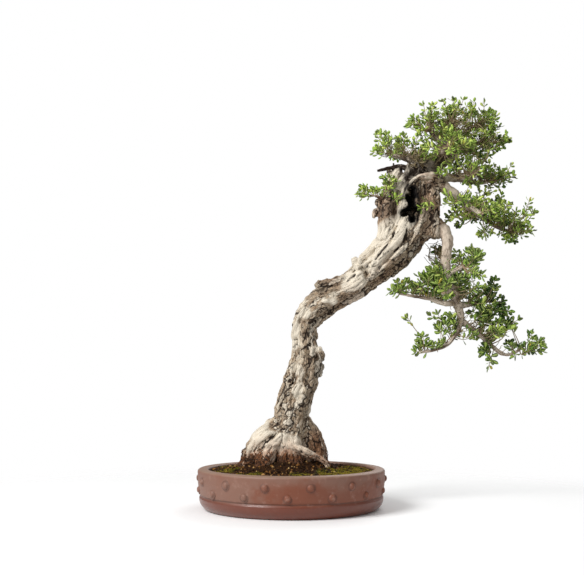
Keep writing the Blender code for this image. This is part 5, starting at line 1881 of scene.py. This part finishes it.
class LeafPile:
    """Obovate leaves gathered for one piece, all drawn at once."""

    stations = (0.08, 0.26, 0.48, 0.7, 0.88)  # shares of the way from stalk to tip
    widths = (0.16, 0.52, 0.86, 1.0, 0.7)  # shares of the full width there
    thickness = 0.42

    def __init__(self) -> None:
        """Starts with no leaves."""
        self.leaves: list[Leaf] = []

    def faces(self) -> Faces:
        """The faces of one leaf.

        Returns:
            Faces between its root, the left, top, right and under points at each station, and its tip.
        """
        count = len(self.stations)
        quads, tris = [], []
        for corner in range(4):
            a, b = 1 + corner, 1 + (corner + 1) % 4
            tris.append((0, b, a))
            for _ in range(count - 1):
                quads.append((a, b, b + 4, a + 4))
                a, b = a + 4, b + 4
            tris.append((a, b, 1 + 4 * count))
        return [np.array(quads), np.array(tris)]

    def shells(self) -> Shells:
        """Every leaf as a thin closed shell.

        Returns:
            The shells.
        """

        def gathered(kind: str) -> Array:
            """One value of every leaf."""
            return np.array([getattr(leaf, kind) for leaf in self.leaves])

        root, ahead, wide = gathered("root"), gathered("ahead"), gathered("wide")
        length, width, droop, fold = (gathered(kind) for kind in ("length", "width", "droop", "fold"))
        face = np.cross(wide, ahead) * -1
        spots = [(0.0, 0.0, 0)]  # along, across, and 1 for the top or -1 for the underside
        for station, share in zip(self.stations, self.widths):
            spots += [(station, share, 0), (station, 0.0, 1), (station, -share, 0), (station, 0.0, -1)]
        spots.append((1.0, 0.0, 0))
        ribs = [float(across == 0.0) for _, across, _ in spots]
        under = [float(skin < 0) for _, _, skin in spots]
        rows = []
        for along, across, skin in spots:
            rise = fold * abs(across) * width * 0.5 - droop * along**2 * length + skin * self.thickness * 0.5
            spot = root + ahead * (along * length)[:, None] + wide * (across * width * 0.5)[:, None]
            rows.append(spot + face * rise[:, None])
        count = len(self.leaves)
        starts = (np.arange(count) * len(spots))[:, None, None]
        faces = [(f[None] + starts).reshape(-1, f.shape[1]) for f in self.faces()]
        values = {kind: np.repeat(gathered(kind), len(spots)) for kind in ("tint", "yellowed", "dusk")}
        values |= {"rib": np.tile(ribs, count), "under": np.tile(under, count)}
        made = Shells()
        made.add(np.stack(rows, 1).reshape(-1, 3), faces, **values)
        return made


@dataclass
class Habit:
    """How the tree grows its leaves and shoots. Lengths are in millimetres."""

    leaf_length: tuple[float, float] = (11.5, 16.5)
    leaf_slimness: tuple[float, float] = (0.42, 0.54)
    internode: float = 6.0
    flat_share: float = 0.6
    shoot_share: tuple[float, float] = (0.3, 0.6)
    twig_radius: tuple[float, float] = (1.15, 0.5)
    twig_sides: int = 5
    lost_leaves: float = 0.1
    yellow_leaves: float = 0.007
    crown_middle: float = 270.0
    crown_reach: float = 130.0


class Grower:
    """Grows leafy twigs into a pile of leaves and a heap of twig shells."""

    def __init__(self, habit: Habit, twigs: Shells, seed: int, limb: str) -> None:
        """Gets ready to grow.

        Args:
            habit: The tree's habit.
            twigs: Where the twigs go.
            seed: The seed of its random draws.
            limb: The limb or pad that it starts on.
        """
        self.habit = habit
        self.twigs = twigs
        self.pile = LeafPile()
        self.draw = random.Random(seed)
        self.mood(limb)

    def mood(self, limb: str) -> None:
        """Sets how much painted shade and painted light the leaves get, and their size, on a limb or a pad;
        the cascade's are painted darker and are larger.
        """
        low = limb.startswith("cascade")
        self.dusk, self.light, self.size = (0.9, -0.08, 1.0) if low else (0.15, 0.08, 0.84)

    def jitter(self, spread: float) -> Vector:
        """A small random vector."""
        return Vector([self.draw.uniform(-spread, spread) for _ in range(3)])

    def leaf(self, root: Vector, way: Vector, scale: float) -> None:
        """One leaf, its face turned to the light.

        Args:
            root: Where it grows.
            way: Where it points.
            scale: Its size against a full one.
        """
        draw = self.draw
        way = way.normalized()
        way.y *= 0.7
        sideways = (root.x - self.habit.crown_middle) / self.habit.crown_reach
        outward = Vector((sideways, -1.0 if root.y < 8 else 1.0, 0.0))
        light = UP * 0.55 + outward * 0.75 + self.jitter(0.75)
        wide = way.cross(light)
        if wide.length < 0.2:
            wide = way.orthogonal()
        wide.normalize()
        length = draw.uniform(*self.habit.leaf_length) * scale * self.size
        # The tint holds the leaf's own tone and the painted light of its place.
        tint = min(max(draw.gauss(0.43, 0.38) + self.light + (0.18 if scale < 0.7 else 0.0), 0.0), 1.0)
        yellowed = draw.uniform(0.5, 1.0) if draw.random() < self.habit.yellow_leaves else 0.0
        width = length * draw.uniform(*self.habit.leaf_slimness)
        droop, fold = draw.uniform(-0.02, 0.16), draw.uniform(0.02, 0.28)
        self.pile.leaves.append(Leaf(root, way, wide, length, width, droop, fold, tint, yellowed, self.dusk))

    def twig(
        self, points: list[Vector], radii: Row, shoots: bool, leafy: float | None = None, bends: int = 4
    ) -> None:
        """A twig through points, with its pairs of leaves and its side shoots.

        Args:
            points: The points that it runs through.
            radii: Its radius at the root and at the tip.
            shoots: Whether side shoots grow on it.
            leafy: How much of it at the tip has leaves, in millimetres. Left out, nearly all of it.
            bends: How many steps it has between two of its points.
        """
        draw, habit = self.draw, self.habit
        line = rounded(tuple(points), bends)
        count = len(line)
        route = [Vector((*p, radii[0] + (radii[1] - radii[0]) * i / (count - 1))) for i, p in enumerate(line)]
        young = np.repeat(np.linspace(0.1, 0.9, count), habit.twig_sides)
        self.twigs.add(*tube(route, habit.twig_sides), young=np.concatenate([young, [0.1, 0.9]]))
        frames = frames_along(line)
        length = travel_of(line)
        leafy = length * 0.88 if leafy is None else min(leafy, length * 0.9)
        nodes = max(1, round(leafy / habit.internode)) if leafy > 0 else 0
        phase = draw.uniform(0, math.pi)
        for node in range(nodes):
            share = 1 - (nodes - 1 - node) * habit.internode / length - 0.03
            share = min(max(share, 0.1), 0.98)
            spot = min(int(share * (count - 1)), count - 2)
            blend = share * (count - 1) - spot
            centre = line[spot].lerp(line[spot + 1], blend)
            ahead, side, across = frames[spot]
            turn = phase + node * math.pi / 2 + draw.uniform(-0.3, 0.3)
            if draw.random() < habit.flat_share:
                turn = math.atan2(-side.y, across.y) + draw.uniform(-0.5, 0.5)
            scale = draw.uniform(0.72, 1.0)
            for flip in (0.0, math.pi):
                out = side * math.cos(turn + flip) + across * math.sin(turn + flip)
                if draw.random() > habit.lost_leaves:
                    angle = draw.uniform(0.75, 1.3)
                    way = ahead * math.cos(angle) + out * math.sin(angle) + UP * 0.18 + self.jitter(0.16)
                    self.leaf(centre, way, scale)
                if shoots and share < 0.86 and draw.random() < 0.72:
                    reach = length * draw.uniform(*habit.shoot_share) * (1.15 - 0.6 * share)
                    way = (ahead * 0.62 + out * 0.8 + UP * 0.22 + self.jitter(0.2)).normalized()
                    middle = centre + way * (0.5 * reach)
                    onward = (way + UP * 0.22 + ahead * 0.25 + self.jitter(0.12)).normalized()
                    end = middle + onward * (0.5 * reach)
                    self.twig([centre, middle, end], (radii[1] * 1.1, radii[1] * 0.7), False)
        if not nodes:
            return
        ahead = frames[-1][0]
        self.leaf(line[-1], ahead + self.jitter(0.1), 0.72)
        for flip in (-1, 1):
            self.leaf(line[-1] - ahead * 1.2, ahead + frames[-1][1] * 0.45 * flip + self.jitter(0.1), 0.6)


def point_on(route: Route, share: float) -> tuple[Vector, float, Vector]:
    """The point, radius and direction at a share of the way along a route.

    Args:
        route: The route.
        share: From 0 to 1.

    Returns:
        The point, the radius and the direction.
    """
    points = [Vector(p[:3]) for p in route]
    lengths = [(b - a).length for a, b in zip(points, points[1:])]
    left = share * sum(lengths)
    for index, length in enumerate(lengths):
        if left <= length or index == len(lengths) - 1:
            part = min(left / length, 1.0)
            radius = route[index][3] + part * (route[index + 1][3] - route[index][3])
            start, end = points[index], points[index + 1]
            return start.lerp(end, part), radius, (end - start).normalized()
        left -= length
    raise ValueError("the route has no length")


@dataclass
class Foliage:
    """Every leafy spray, and the fill of leafy and bare twigs between them."""

    leaf_finish: Material
    twig_finish: Material
    habit: Habit = field(default_factory=Habit)
    pad_density: float = 0.03
    pad_depth: float = 1.4
    bare_spacing: float = 7.0
    bare_radius: float = 9.0
    carrying_radius: float = 8.5
    cascade_height: float = 460.0
    # The first seed of each kind of growth.
    spray_seed: int = 500
    pad_seed: int = 700
    bare_seed: int = 900
    tangle_seed: int = 1100
    sprig_seed: int = 1300
    twigs: Shells = field(default_factory=Shells)
    wood: Array = field(default_factory=lambda: np.zeros((0, 3)))

    def grower(self, seed: int, limb: str = "") -> Grower:
        """A grower with its own seed, in the mood of a limb or a pad."""
        return Grower(self.habit, self.twigs, seed, limb)

    def spray(self, name: str, index: int, limb: str, share: float, direction: Row, length: float) -> None:
        """One fine spray in the place of a plain one.

        Args:
            name: The plain spray's node.
            index: Its number, for its seed.
            limb: The limb that it grows on.
            share: How far along the limb it grows.
            direction: Where it points.
            length: Its twig's length.
        """
        corners = corners_of(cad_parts[name].data) / MM
        point, radius, axis = point_on(LIMBS[limb], share)
        near = corners[np.argsort(np.linalg.norm(corners - np.array(point), axis=1))[:4]]
        root = Vector(near.mean(0))
        out = (root - point).normalized() if (root - point).length > 0.5 else axis
        lean = (Vector(corners.mean(0)) - root).normalized()
        way = (Vector(direction).normalized() + lean).normalized()
        start = root - out * min(2.0, 0.7 * radius)
        second = root + (out * 0.8 + way * 0.4).normalized() * (0.2 * length)
        third = root + (out * 0.35 + way).normalized() * (0.55 * length)
        end = third + (way + UP * 0.25).normalized() * (0.42 * length)
        grower = self.grower(self.spray_seed + index, limb)
        grower.twig([start, second, third, end], self.habit.twig_radius, True)
        mesh = grower.pile.shells().mesh(name)
        show(mesh, "leaves_" + name.removeprefix("spray_"), self.leaf_finish, Slot.FOLIAGE, name)

    def reach(self, grower: Grower, tip: Vector) -> None:
        """A twig from the nearest limb to a point of a pad, leafy at its end.

        Args:
            grower: What grows it.
            tip: Where it ends.
        """
        away = self.wood - np.array(tip)
        cost = np.linalg.norm(away, axis=1) + 0.5 * np.maximum(away[:, 2], 0)
        start = Vector(self.wood[int(np.argmin(cost))])
        stride = tip - start
        length = stride.length
        if length < 6:
            start, stride, length = tip - UP * 8, UP * 8, 8
        middle = start + stride * 0.5 + grower.jitter(0.12 * length) - UP * (0.1 * length)
        thick = min(0.6 + length / 70, 1.6)
        grower.twig([start, middle, tip], (thick, 0.45), False, grower.draw.uniform(10, 22))

    def pad(self, name: str, rows: Route, index: int) -> None:
        """The leaves of one pad, gathered in round clumps.

        Args:
            name: The pad's name.
            rows: Centre and half sizes of each clump.
            index: Its number, for its seed.
        """
        grower = self.grower(self.pad_seed + index, name)
        low = name.startswith("cascade")
        density = self.pad_density * PAD_FULLNESS.get(name, 1.0 if low else 1.3)
        for x, y, z, half_x, half_y, half_z in rows:
            for _ in range(max(4, round(half_x * half_z * density))):
                way = grower.jitter(1.0).normalized() * grower.draw.random() ** 0.4
                # Painted light: leaves high in a clump get a brighter tint, and the cascade's get a darker
                # one.
                grower.light = (-0.09 if low else 0.09) + 0.18 * way.z
                deep = way.y * half_y * self.pad_depth
                self.reach(grower, Vector((x + way.x * half_x, y + deep, z + way.z * half_z)))
        show(grower.pile.shells().mesh(name), f"{name}_leaves", self.leaf_finish, Slot.FOLIAGE)

    def crooked(self, grower: Grower, start: Vector, end: Vector, thick: float) -> None:
        """A bare twig that wanders from one point to another.

        Args:
            grower: What grows it.
            start: Where it starts.
            end: Where it ends.
            thick: Its radius at the start.
        """
        reach = (end - start).length
        first = start.lerp(end, 0.35) + grower.jitter(0.2 * reach)
        second = start.lerp(end, 0.7) + grower.jitter(0.2 * reach)
        grower.twig([start, first, second, end], (thick, 0.4), False, 0, 3)

    def bare_twigs(self, route: Route, index: int) -> None:
        """Thin crooked twigs all along a limb's thin part.

        Args:
            route: The limb's points.
            index: Its number, for its seed.
        """
        length = travel_of([Vector(p) for p in route])
        grower = self.grower(self.bare_seed + index)
        draw = grower.draw
        place = draw.uniform(0, self.bare_spacing)
        while place < length:
            point, radius, axis = point_on(route, place / length)
            place += self.bare_spacing * draw.uniform(0.6, 1.4)
            if radius > self.bare_radius:
                continue
            out = grower.jitter(1.0)
            out.z = abs(out.z)
            out = (out - axis * out.dot(axis) * 0.7).normalized()
            reach = draw.uniform(9, 26)
            end = point + (out + UP * 0.3 + axis * 0.3).normalized() * (radius + reach)
            self.crooked(grower, point + out * (radius * 0.5), end, 0.75)

    def tangle(self, centre: Row, half_sizes: Row, count: int, index: int) -> None:
        """A tangle of bare twigs, each from the nearest limb to a point of it.

        Args:
            centre: Its centre.
            half_sizes: Its half sizes.
            count: How many twigs it has.
            index: Its number, for its seed.
        """
        grower = self.grower(self.tangle_seed + index)
        for _ in range(count):
            way = grower.jitter(1.0)
            end = Vector([c + h * w for c, h, w in zip(centre, half_sizes, way)])
            start = Vector(self.wood[int(np.argmin(np.linalg.norm(self.wood - np.array(end), axis=1)))])
            length = (end - start).length
            if length > 5:
                self.crooked(grower, start, end, min(0.4 + length / 90, 1.1))

    def sprigs(self) -> None:
        """The single sprigs that stand out from the pads, as one piece."""
        grower = self.grower(self.sprig_seed)
        for points, leafy in SPRIGS:
            low = points[0][2] < self.cascade_height
            grower.mood("cascade" if low else "crown")
            grower.twig([Vector(p) for p in points], (1.1, 0.5), False, leafy)
        show(grower.pile.shells().mesh("sprigs"), "sprig_leaves", self.leaf_finish, Slot.FOLIAGE)

    def build(self) -> None:
        """Builds every spray and pad, then the twigs that carry them."""
        grown: dict[str, int] = {}
        for index, (limb, share, direction, length) in enumerate(SPRAYS):
            grown[limb] = grown.get(limb, 0) + 1
            self.spray(f"spray_{limb}_{grown[limb]}", index, limb, share, direction, length)
        living = {index: route for index, (limb, route) in enumerate(LIMBS.items()) if limb != "dead_stub"}
        lines = [rounded(route, 5) for route in living.values()]
        self.wood = np.array([p.xyz for line in lines for p in line if p.w < self.carrying_radius])
        for index, (name, rows) in enumerate(PADS.items()):
            self.pad(name, rows, index)
        for index, route in living.items():
            self.bare_twigs(route, index)
        for index, (centre, half_sizes, count) in enumerate(TANGLES):
            self.tangle(centre, half_sizes, count, index)
        self.sprigs()
        show(self.twigs.mesh("twigs"), "fine_twigs", self.twig_finish, Slot.BARK)


# The studio


@dataclass
class Studio:
    """Pale floor, soft lights, white surroundings and the camera."""

    floor_finish: FloorFinish = FloorFinish()
    # Name, place and side in metres, and power in watts.
    lamps: tuple[tuple[str, Row, float, float], ...] = (
        ("key_lamp", (-1.5, -1.3, 1.7), 1.1, 66.0), ("fill_lamp", (1.6, -1.4, 0.8), 1.6, 5.0),
        ("back_lamp", (0.9, 1.7, 1.5), 1.5, 18.0),
    )
    lit_place: Row = (0.08, 0, 0.33)
    floor_radius: float = 1.6
    camera_place: Row = (0.0012, -1.5, 0.2004)
    camera_tilt: float = math.pi / 2 + 0.1135
    lens: float = 52.87
    sensor: float = 36.0
    ambient: float = 0.36

    def lamp(self, name: str, place: Row, size: float, power: float) -> None:
        """One soft square lamp that looks at the tree.

        Args:
            name: The lamp's name.
            place: Where it hangs, in metres.
            size: Its side, in metres.
            power: Its power, in watts.
        """
        light = bpy.data.lights.new(name, "AREA")
        light.size = size
        light.energy = power
        obj = bpy.data.objects.new(name, light)
        obj.location = place
        aim = Vector(self.lit_place) - Vector(place)
        obj.rotation_euler = aim.to_track_quat("-Z", "Y").to_euler()
        bpy.context.scene.collection.objects.link(obj)

    def surround(self) -> World:
        """White walls to look at, which light the tree less brightly than they show.

        Returns:
            The surroundings.
        """
        world = bpy.data.worlds.new("studio_white")
        world.use_nodes = True
        tree = world.node_tree
        seen = tree.nodes["Background"]
        glow = tree.nodes.new("ShaderNodeBackground")
        for part in (seen, glow):
            part.inputs["Color"].default_value = (1, 1, 1, 1)
        glow.inputs["Strength"].default_value = self.ambient
        path = tree.nodes.new("ShaderNodeLightPath")
        mix = tree.nodes.new("ShaderNodeMixShader")
        tree.links.new(path.outputs["Is Camera Ray"], mix.inputs[0])
        tree.links.new(glow.outputs[0], mix.inputs[1])
        tree.links.new(seen.outputs[0], mix.inputs[2])
        tree.links.new(mix.outputs[0], tree.nodes["World Output"].inputs[0])
        return world

    def build(self) -> None:
        """Sets the stage."""
        scene = bpy.context.scene
        scene.view_settings.view_transform = "Standard"
        scene.world = self.surround()
        for lamp in self.lamps:
            self.lamp(*lamp)
        bm = bmesh.new()
        bmesh.ops.create_circle(bm, cap_ends=True, segments=96, radius=self.floor_radius)
        mesh = mesh_of(bm, "floor")
        mesh.materials.append(self.floor_finish.material())
        floor = bpy.data.objects.new("floor", mesh)
        scene.collection.objects.link(floor)
        camera = bpy.data.cameras.new("camera")
        camera.lens = self.lens
        camera.sensor_width = self.sensor
        view = bpy.data.objects.new("camera", camera)
        view.location = self.camera_place
        view.rotation_euler = (self.camera_tilt, 0, 0)
        scene.collection.objects.link(view)
        scene.camera = view


ROOT_FINISH = TwigFinish("root_finish", rgb(134, 86, 50), rgb(46, 28, 17), rgb(110, 76, 46))
LIMB_FINISH = WoodFinish(
    "limb_finish", cream=rgb(222, 207, 188), silver=rgb(192, 175, 156), grey=rgb(140, 122, 104),
    flake=rgb(170, 148, 124), brown=rgb(112, 90, 72),
)


def main() -> None:
    """Builds the bonsai and its studio, piece by piece."""
    logging.basicConfig(level=logging.INFO, format="%(message)s")
    DrumPot().build()
    net = PlasticNetFinish().material()
    for name in ("drain_mesh_left", "drain_mesh_right"):
        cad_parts[name].material_slots[0].material = net
    bed = SoilBed()
    bed.build()
    MossPatches(bed).build()
    trunk = OldTrunk(WoodFinish().material()).build()
    RootBeard(bed, ROOT_FINISH.material()).build(trunk)
    Limbs(LIMB_FINISH.material()).build()
    Foliage(LeafFinish().material(), TwigFinish().material()).build()
    Studio().build()


if __name__ == "__main__":
    main()
